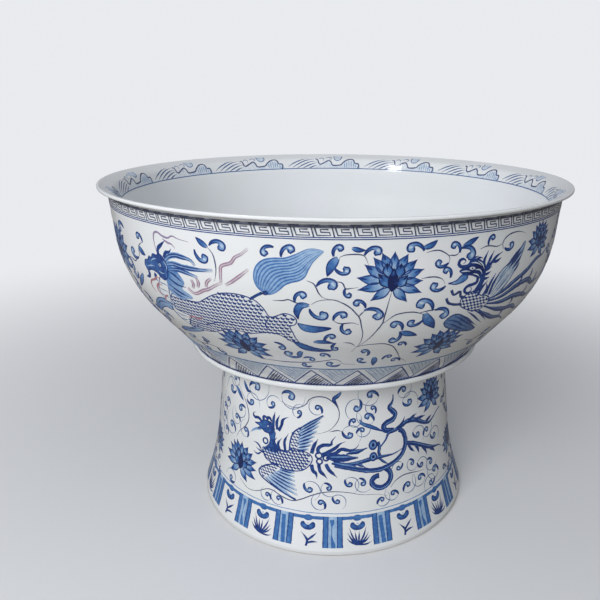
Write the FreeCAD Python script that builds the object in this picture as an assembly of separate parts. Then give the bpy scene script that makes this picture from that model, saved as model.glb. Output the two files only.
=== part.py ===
"""Porcelain bowl planter standing loose on a flared drum pedestal.

Millimetres, +Z up, origin on the floor at the centre of the pedestal's foot.
Every piece is turned about the Z axis from an outline of straight runs and tangent arcs.
"""
import FreeCAD
import Part

import math
import os

# Bowl, from the foot's underside up to the lip
LIP_DIAMETER = 600.0
BOWL_HEIGHT = 219.8
BOWL_WALL = 14.0
BOWL_FLOOR = 14.0
LIP_EDGE = 3.6
LIP_EDGE_ROUND = 1.7
LIP_OVERHANG = 11.4
LIP_UNDERCUT = 2.0
LIP_UNDERCUT_ROUND = 7.0
LIP_CROWN = 3.0
LIP_CROWN_ROUND = 1.2
LIP_HEEL_INSET = 19.0
LIP_HEEL_DROP = 7.0
LIP_HEEL_ROUND = 12.0
LIP_FLARE_DEPTH = 26.0
LIP_FLARE_ROUND = 14.0
BELLY_INSET = 20.0
BELLY_HEIGHT = 110.0
BELLY_ROUND = 166.0
FLOOR_ROUND = 26.0

# Foot of the bowl: a rolled rim around a shallow recess
FOOT_DIAMETER = 399.0
FOOT_ROLL = 7.0
FOOT_ROLL_REACH = 4.0
FOOT_ROLL_ROUND = 3.4
FOOT_NECK_ROUND = 2.0
FOOT_RING_WIDTH = 13.0
FOOT_RECESS_DEPTH = 9.0
FOOT_INNER_ROUND = 2.0

# Drain hole in the bowl's floor and the bung that closes it
DRAIN_DIAMETER = 32.0
DRAIN_ROUND = 1.5
PLUG_CLEARANCE = 0.3
PLUG_TAPER = 1.2
PLUG_TAIL = 3.0
PLUG_FLANGE_REACH = 8.0
PLUG_FLANGE_THICKNESS = 4.0
PLUG_NECK_DIAMETER = 11.0
PLUG_NECK_HEIGHT = 5.0
PLUG_KNOB_DIAMETER = 19.0
PLUG_KNOB_HEIGHT = 8.0
PLUG_ROUND = 1.6

# Cushioning ring between the pedestal's top rim and the bowl's base
SEAT_RING_THICKNESS = 4.0
SEAT_RING_WIDTH = 26.0
SEAT_RING_MARGIN = 5.0
SEAT_RING_ROUND = 0.8

# Pedestal, open at its mouth and at its foot
SEAT_PLAY = 32.5
PEDESTAL_HEIGHT = 238.0
PEDESTAL_WALL = 13.0
PEDESTAL_RIM = 14.0
PEDESTAL_RIM_ROUND = 4.0
MOUTH_ROUND = 3.0
FLARE_CORNER_HEIGHT = 57.4
WAIST_SPREAD = 19.8
FOOT_SPREAD = 18.7
FLARE_ROUND = 430.0
PEDESTAL_FOOT_EDGE = 6.0
PEDESTAL_FOOT_ROUND = 2.0

SHARP = 0.0
# Share of a straight run that the roundings at its two ends may use together
RUN_SHARE = 0.98

# Levels and radii that follow from the sizes above
base_z = PEDESTAL_HEIGHT + SEAT_RING_THICKNESS
foot_z = base_z - FOOT_RECESS_DEPTH
lip_z = foot_z + BOWL_HEIGHT
floor_z = base_z + BOWL_FLOOR
lip_radius = LIP_DIAMETER / 2
foot_radius = FOOT_DIAMETER / 2
recess_radius = foot_radius - FOOT_RING_WIDTH
drain_radius = DRAIN_DIAMETER / 2
pedestal_top_radius = recess_radius - SEAT_PLAY
seat_outer_radius = pedestal_top_radius - SEAT_RING_MARGIN
seat_inner_radius = seat_outer_radius - SEAT_RING_WIDTH
mouth_radius = seat_inner_radius - SEAT_RING_MARGIN


def direction(start, end):
    """Unit vector from one outline point to another, and the distance between them."""
    run_r = end[0] - start[0]
    run_z = end[1] - start[1]
    length = math.hypot(run_r, run_z)
    return run_r / length, run_z / length, length


def inset_line(start, end, distance):
    """A run moved sideways by distance, to its right as it goes from start to end."""
    step_r, step_z, _ = direction(start, end)
    shift_r = step_z * distance
    shift_z = -step_r * distance
    return (start[0] + shift_r, start[1] + shift_z), (end[0] + shift_r, end[1] + shift_z)


def crossing(first, second):
    """Point where two straight runs, made as long as needed, cross."""
    (ar, az), (br, bz) = first
    (cr, cz), (dr, dz) = second
    cross = (br - ar) * (dz - cz) - (bz - az) * (dr - cr)
    along = ((cr - ar) * (dz - cz) - (cz - az) * (dr - cr)) / cross
    return ar + along * (br - ar), az + along * (bz - az)


def at_level(run, level):
    """Point of a straight run, made as long as needed, at a height."""
    (ar, az), (br, bz) = run
    return ar + (level - az) * (br - ar) / (bz - az), level


def tangent_lengths(corners):
    """How far each corner's rounding reaches along its two runs, kept within the runs."""
    count = len(corners)
    reach = []
    for index, (r, z, radius) in enumerate(corners):
        into_r, into_z, _ = direction(corners[index - 1], (r, z))
        out_r, out_z, _ = direction((r, z), corners[(index + 1) % count])
        cosine = max(-1.0, min(1.0, into_r * out_r + into_z * out_z))
        reach.append(radius * math.tan(math.acos(cosine) / 2))
    kept = []
    for index, corner in enumerate(corners):
        share = 1.0
        for other in (index - 1, (index + 1) % count):
            _, _, length = direction(corner, corners[other])
            wanted = reach[index] + reach[other]
            if wanted > RUN_SHARE * length:
                share = min(share, RUN_SHARE * length / wanted)
        kept.append(reach[index] * share)
    return kept


def turned(corners):
    """Solid of revolution about Z from outline corners, each (radius, height, rounding)."""
    count = len(corners)
    reach = tangent_lengths(corners)
    edges = []
    starts = []
    ends = []
    for index, (r, z, _) in enumerate(corners):
        back_r, back_z, _ = direction((r, z), corners[index - 1])
        on_r, on_z, _ = direction((r, z), corners[(index + 1) % count])
        start = (r + back_r * reach[index], z + back_z * reach[index])
        end = (r + on_r * reach[index], z + on_z * reach[index])
        starts.append(start)
        ends.append(end)
        if reach[index] > 0:
            edges.append(corner_arc((r, z), start, end))
    for index in range(count):
        after = (index + 1) % count
        edges.append(Part.LineSegment(point(ends[index]), point(starts[after])).toShape())
    wire = Part.Wire(Part.__sortEdges__(edges))
    axis_foot = FreeCAD.Vector(0, 0, 0)
    axis = FreeCAD.Vector(0, 0, 1)
    return Part.Face(wire).revolve(axis_foot, axis, 360)


def corner_arc(corner, start, end):
    """Arc that is tangent to both runs of a corner, between the two given points."""
    middle = ((start[0] + end[0]) / 2, (start[1] + end[1]) / 2)
    half_chord = math.dist(start, end) / 2
    tangent = math.dist(corner, start)
    to_chord = math.dist(corner, middle)
    radius = half_chord * tangent / to_chord
    to_centre = math.hypot(radius, tangent)
    from_corner = (to_centre - radius) / to_chord
    crown_r = corner[0] + (middle[0] - corner[0]) * from_corner
    crown_z = corner[1] + (middle[1] - corner[1]) * from_corner
    return Part.Arc(point(start), point((crown_r, crown_z)), point(end)).toShape()


def point(outline_point):
    """Outline point (radius, height) as a point of the XZ plane."""
    return FreeCAD.Vector(outline_point[0], 0, outline_point[1])


def bowl():
    """Thick bowl: everted lip, upright shoulder, conical underbelly and a rolled foot rim."""
    underlip = (lip_radius - LIP_OVERHANG, lip_z - LIP_EDGE - LIP_UNDERCUT)
    belly = (lip_radius - BELLY_INSET, foot_z + BELLY_HEIGHT)
    neck = (foot_radius - FOOT_ROLL_REACH, foot_z + FOOT_ROLL)
    shoulder_inside = inset_line(belly, underlip, -BOWL_WALL)
    underbelly_inside = inset_line(neck, belly, -BOWL_WALL)
    belly_inside = crossing(shoulder_inside, underbelly_inside)
    flare_foot = at_level(shoulder_inside, lip_z - LIP_FLARE_DEPTH)
    lip_heel = (lip_radius - LIP_HEEL_INSET, lip_z - LIP_HEEL_DROP)
    floor_corner = at_level(underbelly_inside, floor_z)
    return turned([
        (lip_radius, lip_z, LIP_EDGE_ROUND),
        (lip_radius, lip_z - LIP_EDGE, LIP_EDGE_ROUND),
        (*underlip, LIP_UNDERCUT_ROUND),
        (*belly, BELLY_ROUND),
        (*neck, FOOT_NECK_ROUND),
        (foot_radius, foot_z + FOOT_ROLL, FOOT_ROLL_ROUND),
        (foot_radius, foot_z, FOOT_ROLL_ROUND),
        (recess_radius, foot_z, FOOT_INNER_ROUND),
        (recess_radius, base_z, FOOT_INNER_ROUND),
        (drain_radius, base_z, DRAIN_ROUND),
        (drain_radius, floor_z, DRAIN_ROUND),
        (*floor_corner, FLOOR_ROUND),
        (*belly_inside, BELLY_ROUND - BOWL_WALL),
        (*flare_foot, LIP_FLARE_ROUND),
        (*lip_heel, LIP_HEEL_ROUND),
        (lip_radius - LIP_CROWN, lip_z, LIP_CROWN_ROUND),
    ])


def drain_plug():
    """Rubber bung: tapered body in the drain hole, flange on the floor, knob to pull it by."""
    body_radius = drain_radius - PLUG_CLEARANCE
    flange_radius = drain_radius + PLUG_FLANGE_REACH
    neck_radius = PLUG_NECK_DIAMETER / 2
    knob_radius = PLUG_KNOB_DIAMETER / 2
    tail_z = base_z - PLUG_TAIL
    flange_z = floor_z + PLUG_FLANGE_THICKNESS
    knob_z = flange_z + PLUG_NECK_HEIGHT
    top_z = knob_z + PLUG_KNOB_HEIGHT
    return turned([
        (0, tail_z, SHARP),
        (body_radius - PLUG_TAPER, tail_z, PLUG_ROUND),
        (body_radius, floor_z, SHARP),
        (flange_radius, floor_z, SHARP),
        (flange_radius, flange_z, PLUG_ROUND),
        (neck_radius, flange_z, PLUG_ROUND),
        (neck_radius, knob_z, PLUG_ROUND),
        (knob_radius, knob_z, PLUG_ROUND),
        (knob_radius, top_z, PLUG_ROUND),
        (0, top_z, SHARP),
    ])


def seat_ring():
    """Flat rubber ring that lies on the pedestal's rim and carries the bowl's base."""
    return turned([
        (seat_inner_radius, PEDESTAL_HEIGHT, SEAT_RING_ROUND),
        (seat_outer_radius, PEDESTAL_HEIGHT, SEAT_RING_ROUND),
        (seat_outer_radius, base_z, SEAT_RING_ROUND),
        (seat_inner_radius, base_z, SEAT_RING_ROUND),
    ])


def pedestal():
    """Hollow drum with an inturned top rim, a nearly straight waist and a flared foot."""
    rim = (pedestal_top_radius, PEDESTAL_HEIGHT)
    flare = (pedestal_top_radius + WAIST_SPREAD, FLARE_CORNER_HEIGHT)
    foot = (flare[0] + FOOT_SPREAD, PEDESTAL_FOOT_EDGE)
    waist_inside = inset_line(flare, rim, -PEDESTAL_WALL)
    flare_inside = inset_line(foot, flare, -PEDESTAL_WALL)
    rim_under = PEDESTAL_HEIGHT - PEDESTAL_RIM
    return turned([
        (*rim, PEDESTAL_RIM_ROUND),
        (*flare, FLARE_ROUND),
        (*foot, PEDESTAL_FOOT_ROUND),
        (foot[0], 0, PEDESTAL_FOOT_ROUND),
        (*at_level(flare_inside, 0), PEDESTAL_FOOT_ROUND),
        (*crossing(waist_inside, flare_inside), FLARE_ROUND + PEDESTAL_WALL),
        (*at_level(waist_inside, rim_under), PEDESTAL_RIM_ROUND),
        (mouth_radius, rim_under, MOUTH_ROUND),
        (mouth_radius, PEDESTAL_HEIGHT, MOUTH_ROUND),
    ])


os.makedirs("parts", exist_ok=True)
for make_piece in (pedestal, seat_ring, bowl, drain_plug):
    make_piece().exportStep("parts/" + make_piece.__name__ + ".step")
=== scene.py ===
"""Looks of a blue and white porcelain bowl that stands on a drum pedestal.

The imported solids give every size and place. The turned walls are thrown again as smooth glazed
shells, and the brushwork lies on them as thin raised colour: it is drawn flat, in millimetres
along and down a wall, and rolled onto the turned surface by geometry nodes.
"""
import logging
import math
from dataclasses import dataclass, field
from enum import Enum

import bpy
from mathutils import Matrix, Vector
from mathutils.geometry import delaunay_2d_cdt


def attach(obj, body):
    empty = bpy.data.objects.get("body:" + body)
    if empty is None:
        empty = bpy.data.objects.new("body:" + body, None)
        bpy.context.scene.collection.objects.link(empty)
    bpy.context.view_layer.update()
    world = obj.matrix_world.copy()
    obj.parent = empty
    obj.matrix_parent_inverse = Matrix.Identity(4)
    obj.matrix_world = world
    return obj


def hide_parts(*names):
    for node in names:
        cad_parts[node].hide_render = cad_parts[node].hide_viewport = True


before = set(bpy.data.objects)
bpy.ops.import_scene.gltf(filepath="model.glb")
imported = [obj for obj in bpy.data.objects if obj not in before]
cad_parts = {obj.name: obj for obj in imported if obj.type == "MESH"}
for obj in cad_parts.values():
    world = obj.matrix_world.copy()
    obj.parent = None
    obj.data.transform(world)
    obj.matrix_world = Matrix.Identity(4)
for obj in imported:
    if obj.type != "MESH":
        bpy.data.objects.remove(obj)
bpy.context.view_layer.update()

MM = 0.001
log = logging.getLogger("planter")

Socket = bpy.types.NodeSocket
Outputs = bpy.types.NodeOutputs
Tree = bpy.types.NodeTree
Material = bpy.types.Material
Object = bpy.types.Object
Point = tuple[float, float]
Path = list[Point]
Place = tuple[float, float, float]


class Ink(Enum):
    """How much cobalt a stroke carries, from a breath of wash to a loaded brush."""

    WHITE = 0.0
    FAINT = 0.10
    PALE = 0.26
    WASH = 0.42
    STEM = 0.50
    MIDDLE = 0.62
    DARK = 0.84
    DEEP = 1.0


class Taper(Enum):
    """Width of a stroke at its start and at its end, as shares of its full width."""

    EVEN = (1.0, 1.0)
    BRUSH = (0.30, 0.16)
    TAIL = (1.0, 0.10)
    HEAD = (0.14, 1.0)


class Side(Enum):
    """Which way a painted wall faces, as the sign of the roll."""

    OUTSIDE = -1.0
    INSIDE = 1.0


class Graph:
    """A node tree that is wired by calls."""

    def __init__(self, tree: Tree) -> None:
        """Takes the tree to wire."""
        self.tree = tree

    def only(self, kind: str) -> bpy.types.Node:
        """Returns the tree's one node of a kind."""
        return next(node for node in self.tree.nodes if node.type == kind)

    def wire(self, node: bpy.types.Node, inputs: dict) -> None:
        """Links values to a node's inputs, or sets the inputs' own values.

        Args:
            node: Node to wire.
            inputs: Values or sockets by input name or place.
        """
        for key, value in inputs.items():
            if isinstance(value, Socket):
                self.tree.links.new(value, node.inputs[key])
            else:
                node.inputs[key].default_value = value

    def add(self, kind: str, inputs: dict | None = None, **settings: object) -> bpy.types.Node:
        """Adds a node.

        Args:
            kind: Blender's name of the node type.
            inputs: Values or sockets by input name or place.
            settings: Properties of the node itself.

        Returns:
            The new node.
        """
        node = self.tree.nodes.new(kind)
        for name, value in settings.items():
            setattr(node, name, value)
        self.wire(node, inputs or {})
        return node

    def group(self, tree: Tree, inputs: dict) -> Outputs:
        """Adds a group of nodes.

        Args:
            tree: The group.
            inputs: Values or sockets by input name.

        Returns:
            The group's outputs.
        """
        kind = "ShaderNodeGroup" if tree.type == "SHADER" else "GeometryNodeGroup"
        node = self.add(kind, node_tree=tree)
        self.wire(node, inputs)
        return node.outputs

    def made(self, kind: str, inputs: dict | None = None, **settings: object) -> Socket:
        """Adds a geometry node and returns its first result."""
        return self.add("GeometryNode" + kind, inputs, **settings).outputs[0]

    def shape_of(self, given: Socket) -> Socket:
        """Returns the geometry of an object that is given."""
        return self.add("GeometryNodeObjectInfo", {"Object": given}).outputs["Geometry"]

    def joined(self, *shapes: Socket) -> Socket:
        """Joins shapes into one geometry.

        Args:
            shapes: What is joined, in this order.

        Returns:
            The joined geometry.
        """
        node = self.add("GeometryNodeJoinGeometry")
        for shape in shapes:
            self.tree.links.new(shape, node.inputs[0])
        return node.outputs[0]

    def math(self, operation: str, first: object, second: object = 0.0) -> Socket:
        """Adds a Math node and returns its result."""
        return self.add("ShaderNodeMath", {0: first, 1: second}, operation=operation).outputs[0]

    def product(self, first: object, *others: object) -> Socket:
        """Multiplies numbers, from left to right."""
        for other in others:
            first = self.math("MULTIPLY", first, other)
        return first

    def noise(self, spot: Socket, scale: float, detail: float) -> Outputs:
        """Adds a noise pattern and returns its outputs."""
        return self.add("ShaderNodeTexNoise", {"Vector": spot, "Scale": scale, "Detail": detail}).outputs

    def spot(self) -> Socket:
        """Reads the place on the object, in a shader or in a geometry tree."""
        if self.tree.type == "SHADER":
            return self.add("ShaderNodeTexCoord").outputs["Object"]
        return self.add("GeometryNodeInputPosition").outputs[0]

    def parts(self, vector: Socket) -> Outputs:
        """Splits a vector and returns its X, Y and Z outputs."""
        return self.add("ShaderNodeSeparateXYZ", {0: vector}).outputs

    def vector(self, x: object, y: object, z: object) -> Socket:
        """Joins three numbers into a vector."""
        return self.add("ShaderNodeCombineXYZ", {0: x, 1: y, 2: z}).outputs[0]

    def named(self, name: str) -> Socket:
        """Reads a named number, in a shader or in a geometry tree."""
        if self.tree.type == "SHADER":
            return self.add("ShaderNodeAttribute", attribute_name=name).outputs["Fac"]
        return self.add("GeometryNodeInputNamedAttribute", {"Name": name}, data_type="FLOAT").outputs[0]

    def blend(self, share: object, low: object, high: object) -> Socket:
        """Mixes two numbers by a share."""
        return self.add("ShaderNodeMix", {0: share, 2: low, 3: high}, data_type="FLOAT").outputs[0]

    def tint(self, share: object, low: object, high: object) -> Socket:
        """Mixes two colours by a share."""
        return self.add("ShaderNodeMix", {0: share, 6: low, 7: high}, data_type="RGBA").outputs[2]

    def bump(self, height: Socket, strength: object) -> Socket:
        """Turns a height in metres into a bumped normal."""
        return self.add("ShaderNodeBump", {
            "Height": height, "Distance": 1.0, "Strength": strength}).outputs[0]

    def band(self, value: object, low: float, high: float) -> Socket:
        """Smooth step from 0 to 1 as a value goes from low to high."""
        node = self.add("ShaderNodeMapRange", {"Value": value, "From Min": low, "From Max": high},
                        interpolation_type="SMOOTHSTEP")
        return node.outputs[0]


def started(name: str, kind: str, inputs: dict[str, str], outputs: dict[str, str]) -> tuple[Graph, Outputs]:
    """Starts a group of nodes.

    Args:
        name: Name of the group.
        kind: Shader or Geometry.
        inputs: Kinds of value, such as Float or Object, by the inputs' names.
        outputs: The same of the results.

    Returns:
        The group's graph, and the sockets that give its inputs.
    """
    graph = Graph(bpy.data.node_groups.new(name, kind + "NodeTree"))
    for way, sockets in (("OUTPUT", outputs), ("INPUT", inputs)):
        for socket, value in sockets.items():
            graph.tree.interface.new_socket(socket, in_out=way, socket_type="NodeSocket" + value)
    return graph, graph.add("NodeGroupInput").outputs


def geometry(name: str, inputs: dict[str, str]) -> tuple[Graph, Outputs]:
    """Starts a geometry group with the named inputs and one result."""
    return started(name, "Geometry", inputs, {"Geometry": "Geometry"})


class WheelTrees:
    """The geometry trees that throw a wall and lay brushwork on it."""

    seam_weld = 1e-7
    wash_weld = 1e-6
    rise_end = 0.34
    fall_start = 0.5
    sway_scale = 260.0
    sway = 0.5
    least_pressure = 0.75
    thinnest = 0.06 * MM
    section = {"Width": 2.0, "Height": 0.4}
    wash_sink = (0.0, 0.0, -0.1 * MM)
    wash_body = 0.2 * MM
    embed = 0.05 * MM
    shake_scale = 75.0
    shake_middle = (0.5, 0.5, 0.5)

    def __init__(self) -> None:
        """Builds each tree once."""
        self.throw = self.throw_tree()
        self.brush = self.brush_group()
        self.body = self.wash_group()
        self.roll = self.roll_group()
        self.paint = self.paint_tree()

    @staticmethod
    def close(graph: Graph, result: Socket, finish: Socket) -> Tree:
        """Shades a result smooth, and ends its tree in Realize Instances and Set Material."""
        real = graph.made("RealizeInstances", {0: graph.made("SetShadeSmooth", {0: result})})
        graph.add("NodeGroupOutput", {0: graph.made("SetMaterial", {"Geometry": real, "Material": finish})})
        return graph.tree

    def throw_tree(self) -> Tree:
        """Tree that turns a closed outline about Z into a closed shell.

        Returns:
            The finished tree.
        """
        graph, given = geometry("throw_on_wheel", {
            "Outline": "Object", "Segments": "Int", "Finish": "Material"})
        outline = graph.shape_of(given["Outline"])
        count = graph.made("AttributeDomainSize", {0: outline}, component="CURVE")
        grid = graph.made("MeshGrid", {
            "Size X": 1.0, "Size Y": 1.0,
            "Vertices X": graph.math("ADD", given["Segments"], 1.0),
            "Vertices Y": graph.math("ADD", count, 1.0)})
        place = graph.parts(graph.spot())
        turn = graph.product(graph.math("ADD", place["X"], 0.5), math.tau)
        row = graph.math("ROUND", graph.product(graph.math("ADD", place["Y"], 0.5), count))
        sample = graph.made("SampleIndex", {
            "Geometry": outline, "Value": graph.spot(), "Index": graph.math("FLOORED_MODULO", row, count)},
            data_type="FLOAT_VECTOR")
        spot = graph.parts(sample)
        turned = graph.vector(
            graph.product(spot["X"], graph.math("SINE", turn)),
            graph.product(spot["X"], graph.math("COSINE", turn), -1.0),
            spot["Z"])
        bent = graph.made("SetPosition", {"Geometry": grid, "Position": turned})
        closed = graph.made("MergeByDistance", {"Geometry": bent, "Distance": self.seam_weld})
        return self.close(graph, graph.made("FlipFaces", {0: closed}), given["Finish"])

    def brush_group(self) -> Tree:
        """Group that turns loose edges into flat closed ribbons of brushed width.

        Returns:
            The finished tree.
        """
        graph, given = geometry("brush_strokes", {"Drawing": "Geometry", "Step": "Float"})
        loose = graph.math("LESS_THAN", graph.made("InputMeshEdgeNeighbors"), 0.5)
        curves = graph.made("MeshToCurve", {"Mesh": given["Drawing"], "Selection": loose})
        round_run = graph.math("LESS_THAN", graph.named("straight"), 0.5)
        rounded = graph.made("CurveSplineType", {"Curve": curves, "Selection": round_run},
                             spline_type="CATMULL_ROM")
        stepped = graph.made("ResampleCurve", {
            "Curve": rounded, "Selection": round_run, "Length": given["Step"]}, mode="LENGTH")
        along = graph.made("SplineParameter")
        rise = graph.blend(graph.band(along, 0.0, self.rise_end), graph.named("start"), 1.0)
        fall = graph.blend(graph.band(along, self.fall_start, 1.0), 1.0, graph.named("end"))
        hand = graph.noise(graph.spot(), self.sway_scale, 1.0)[0]
        pressure = graph.math("ADD", graph.product(hand, self.sway), self.least_pressure)
        half = graph.product(graph.named("width"), 0.5)
        full = graph.product(rise, fall, pressure)
        reach = graph.math("MAXIMUM", graph.product(half, full), self.thinnest)
        ribbon = graph.made("CurveToMesh", {
            "Curve": graph.made("SetCurveNormal", {0: stepped}, mode="Z_UP"),
            "Profile Curve": graph.made("CurvePrimitiveQuadrilateral", self.section),
            "Scale": reach, "Fill Caps": True})
        graph.add("NodeGroupOutput", {0: ribbon})
        return graph.tree

    def wash_group(self) -> Tree:
        """Group that gives flat washes a top, a bottom and sides.

        Returns:
            The finished tree.
        """
        graph, given = geometry("wash_bodies", {"Drawing": "Geometry"})
        always = graph.math("LESS_THAN", 0.0, 1.0)
        flat = graph.made("SeparateGeometry", {"Geometry": given["Drawing"], "Selection": always},
                          domain="FACE")
        low = graph.made("SetPosition", {"Geometry": flat, "Offset": self.wash_sink})
        raised = graph.made("ExtrudeMesh", {
            "Mesh": low, "Offset": (0.0, 0.0, 1.0), "Offset Scale": self.wash_body, "Individual": False},
            mode="FACES")
        both = graph.joined(graph.made("FlipFaces", {0: low}), raised)
        graph.add("NodeGroupOutput", {
            0: graph.made("MergeByDistance", {"Geometry": both, "Distance": self.wash_weld})})
        return graph.tree

    def roll_group(self) -> Tree:
        """Group that rolls flat work onto a turned wall, its lift along the wall's normal.

        Returns:
            The finished tree.
        """
        graph, given = geometry("roll_onto_wall", {
            "Flat": "Geometry", "Outline": "Geometry", "Reference Radius": "Float", "Side": "Float",
            "Start": "Float"})
        side = given["Side"]
        spot = graph.parts(graph.spot())
        down = graph.math("SUBTRACT", graph.product(spot["Y"], -1.0), given["Start"])
        sample = graph.add("GeometryNodeSampleCurve", {
            "Curves": given["Outline"], "Length": down}, mode="LENGTH", use_all_curves=True)
        wall = graph.parts(sample.outputs["Position"])
        run = graph.parts(sample.outputs["Tangent"])
        lift = graph.blend(graph.math("GREATER_THAN", spot["Z"], 0.0), -self.embed, graph.named("lift"))
        radius = graph.math("ADD", wall["X"], graph.product(side, run["Z"], lift))
        turn = graph.math("DIVIDE", spot["X"], given["Reference Radius"])
        rolled = graph.vector(
            graph.product(radius, graph.math("SINE", turn)),
            graph.product(radius, graph.math("COSINE", turn), side),
            graph.math("SUBTRACT", wall["Z"], graph.product(side, run["X"], lift)))
        graph.add("NodeGroupOutput", {
            0: graph.made("SetPosition", {"Geometry": given["Flat"], "Position": rolled})})
        return graph.tree

    def paint_tree(self) -> Tree:
        """Tree that repeats a drawing round a wall, brushes it and rolls it on.

        Returns:
            The finished tree.
        """
        graph, given = geometry("paint_round_wall", {
            "Drawing": "Geometry", "Outline": "Object", "Count": "Int", "Pitch": "Float",
            "Reference Radius": "Float", "Side": "Float", "Start": "Float", "Step": "Float",
            "Tremor": "Float", "Finish": "Material"})
        spots = graph.made("MeshLine", {
            "Count": given["Count"], "Offset": graph.vector(given["Pitch"], 0.0, 0.0)})
        copies = graph.made("InstanceOnPoints", {"Points": spots, "Instance": given["Drawing"]})
        sheet = graph.made("RealizeInstances", {0: copies})
        strokes = graph.group(self.brush, {"Drawing": sheet, "Step": given["Step"]})[0]
        both = graph.joined(strokes, graph.group(self.body, {"Drawing": sheet})[0])
        shake = graph.noise(graph.spot(), self.shake_scale, 1.0)["Color"]
        centred = graph.add("ShaderNodeVectorMath", {0: shake, 1: self.shake_middle}, operation="SUBTRACT")
        reach = graph.vector(given["Tremor"], given["Tremor"], 0.0)
        stray = graph.add("ShaderNodeVectorMath", {0: centred.outputs[0], 1: reach}, operation="MULTIPLY")
        drawn = graph.made("SetPosition", {"Geometry": both, "Offset": stray.outputs[0]})
        rolled = graph.group(self.roll, {
            "Flat": drawn, "Outline": graph.shape_of(given["Outline"]),
            **{name: given[name] for name in ("Reference Radius", "Side", "Start")}})[0]
        return self.close(graph, rolled, given["Finish"])


def settled(obj: Object, tree: Tree, inputs: dict[str, object]) -> Object:
    """Runs a geometry tree on an object and keeps the result as its plain mesh.

    Args:
        obj: Object to shape.
        tree: Geometry tree to run.
        inputs: Values by the tree's input names.

    Returns:
        The same object, with a plain mesh and no modifier.
    """
    modifier = obj.modifiers.new(tree.name, "NODES")
    modifier.node_group = tree
    for item in tree.interface.items_tree:
        if item.name in inputs:
            modifier[item.identifier] = inputs[item.name]
    graph = bpy.context.evaluated_depsgraph_get()
    mesh = bpy.data.meshes.new_from_object(obj.evaluated_get(graph), preserve_all_data_layers=True,
                                           depsgraph=graph)
    mesh.name = obj.name
    obj.modifiers.clear()
    obj.data = mesh
    return obj


def linked(name: str, data: bpy.types.ID | None) -> Object:
    """Makes an object in the scene."""
    obj = bpy.data.objects.new(name, data)
    bpy.context.scene.collection.objects.link(obj)
    return obj


@dataclass
class Outline:
    """Closed outline of a turned CAD node, read from the seam of its mesh, in metres."""

    node: str
    step: float = 5.0 * MM
    sharp: float = math.radians(30.0)
    grain: float = 1e-6
    points: Path = field(init=False)

    def __post_init__(self) -> None:
        """Walks the seam and divides its chords along the arcs they stand for."""
        self.points = self.refined(self.walked())

    def walked(self) -> Path:
        """Walks the seam of the node's mesh.

        Returns:
            The seam's points, from the widest point down the outer wall.
        """
        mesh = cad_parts[self.node].data
        grain = self.grain
        neighbours: dict[tuple[int, int], set] = {}
        for edge in mesh.edges:
            ends = [mesh.vertices[index].co for index in edge.vertices]
            if any(abs(end.y) > grain or end.x < 0.0 for end in ends):
                continue
            first, second = [(round(end.x / grain), round(end.z / grain)) for end in ends]
            if first != second:
                neighbours.setdefault(first, set()).add(second)
                neighbours.setdefault(second, set()).add(first)
        here = max(neighbours)
        before = here
        after = min(neighbours[here], key=lambda spot: spot[1])
        loop = [here]
        while after != loop[0]:
            loop.append(after)
            before, here = here, after
            after = next(spot for spot in neighbours[here] if spot != before)
        return [(spot[0] * grain, spot[1] * grain) for spot in loop]

    def refined(self, loop: Path) -> Path:
        """Divides each chord of a closed loop on a cubic that keeps the loop's directions.

        Args:
            loop: Points of the loop, in order.

        Returns:
            The loop with no chord longer than the step.
        """
        spots = [Vector(spot) for spot in loop]
        least, most = (Vector([pick(way) for way in zip(*loop)]) for pick in (min, max))
        runs = [spots[(index + 1) % len(spots)] - spot for index, spot in enumerate(spots)]
        made = []
        for index, spot in enumerate(spots):
            run = runs[index]
            after = runs[(index + 1) % len(runs)]
            leave = self.heading(runs[index - 1], run, run)
            arrive = self.heading(run, after, run)
            count = max(1, math.ceil(run.length / self.step))
            for part in range(count):
                share = part / count
                rest = 1.0 - share
                bend = leave * (share * rest * rest) - arrive * (share * share * rest)
                place = spot + run * (share * share * (3.0 - 2.0 * share)) + bend * run.length
                made.append(tuple(min(max(at, low), high) for at, low, high in zip(place, least, most)))
        return made

    def heading(self, before: Vector, after: Vector, own: Vector) -> Vector:
        """Direction of the outline where two chords meet, or the chord's own at a sharp corner."""
        if before.angle(after) > self.sharp:
            return own.normalized()
        return (before + after).normalized()

    @staticmethod
    def curve(name: str, spots: Path, closed: bool) -> Object:
        """Makes a poly curve object in the XZ plane.

        Args:
            name: Name of the object.
            spots: Radius and height of each point.
            closed: True if the curve returns to its first point.

        Returns:
            The curve object.
        """
        data = bpy.data.curves.new(name, "CURVE")
        data.dimensions = "3D"
        spline = data.splines.new("POLY")
        spline.points.add(len(spots) - 1)
        for point, (radius, height) in zip(spline.points, spots):
            point.co = (radius, 0.0, height, 1.0)
        spline.use_cyclic_u = closed
        return linked(name, data)


@dataclass(frozen=True)
class Placing:
    """Where and how a drawn motif lies on the sheet."""

    at: Point = (0.0, 0.0)
    size: float = 1.0
    turn: float = 0.0
    mirrored: bool = False

    def of(self, path: Path) -> Path:
        """Puts a motif in its place.

        Args:
            path: The motif's own points.

        Returns:
            Points on the sheet.
        """
        cosine = math.cos(math.radians(self.turn)) * self.size
        sine = math.sin(math.radians(self.turn)) * self.size
        hand = -1.0 if self.mirrored else 1.0
        return [(self.at[0] + hand * u * cosine - v * sine, self.at[1] + hand * u * sine + v * cosine)
                for u, v in path]


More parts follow.
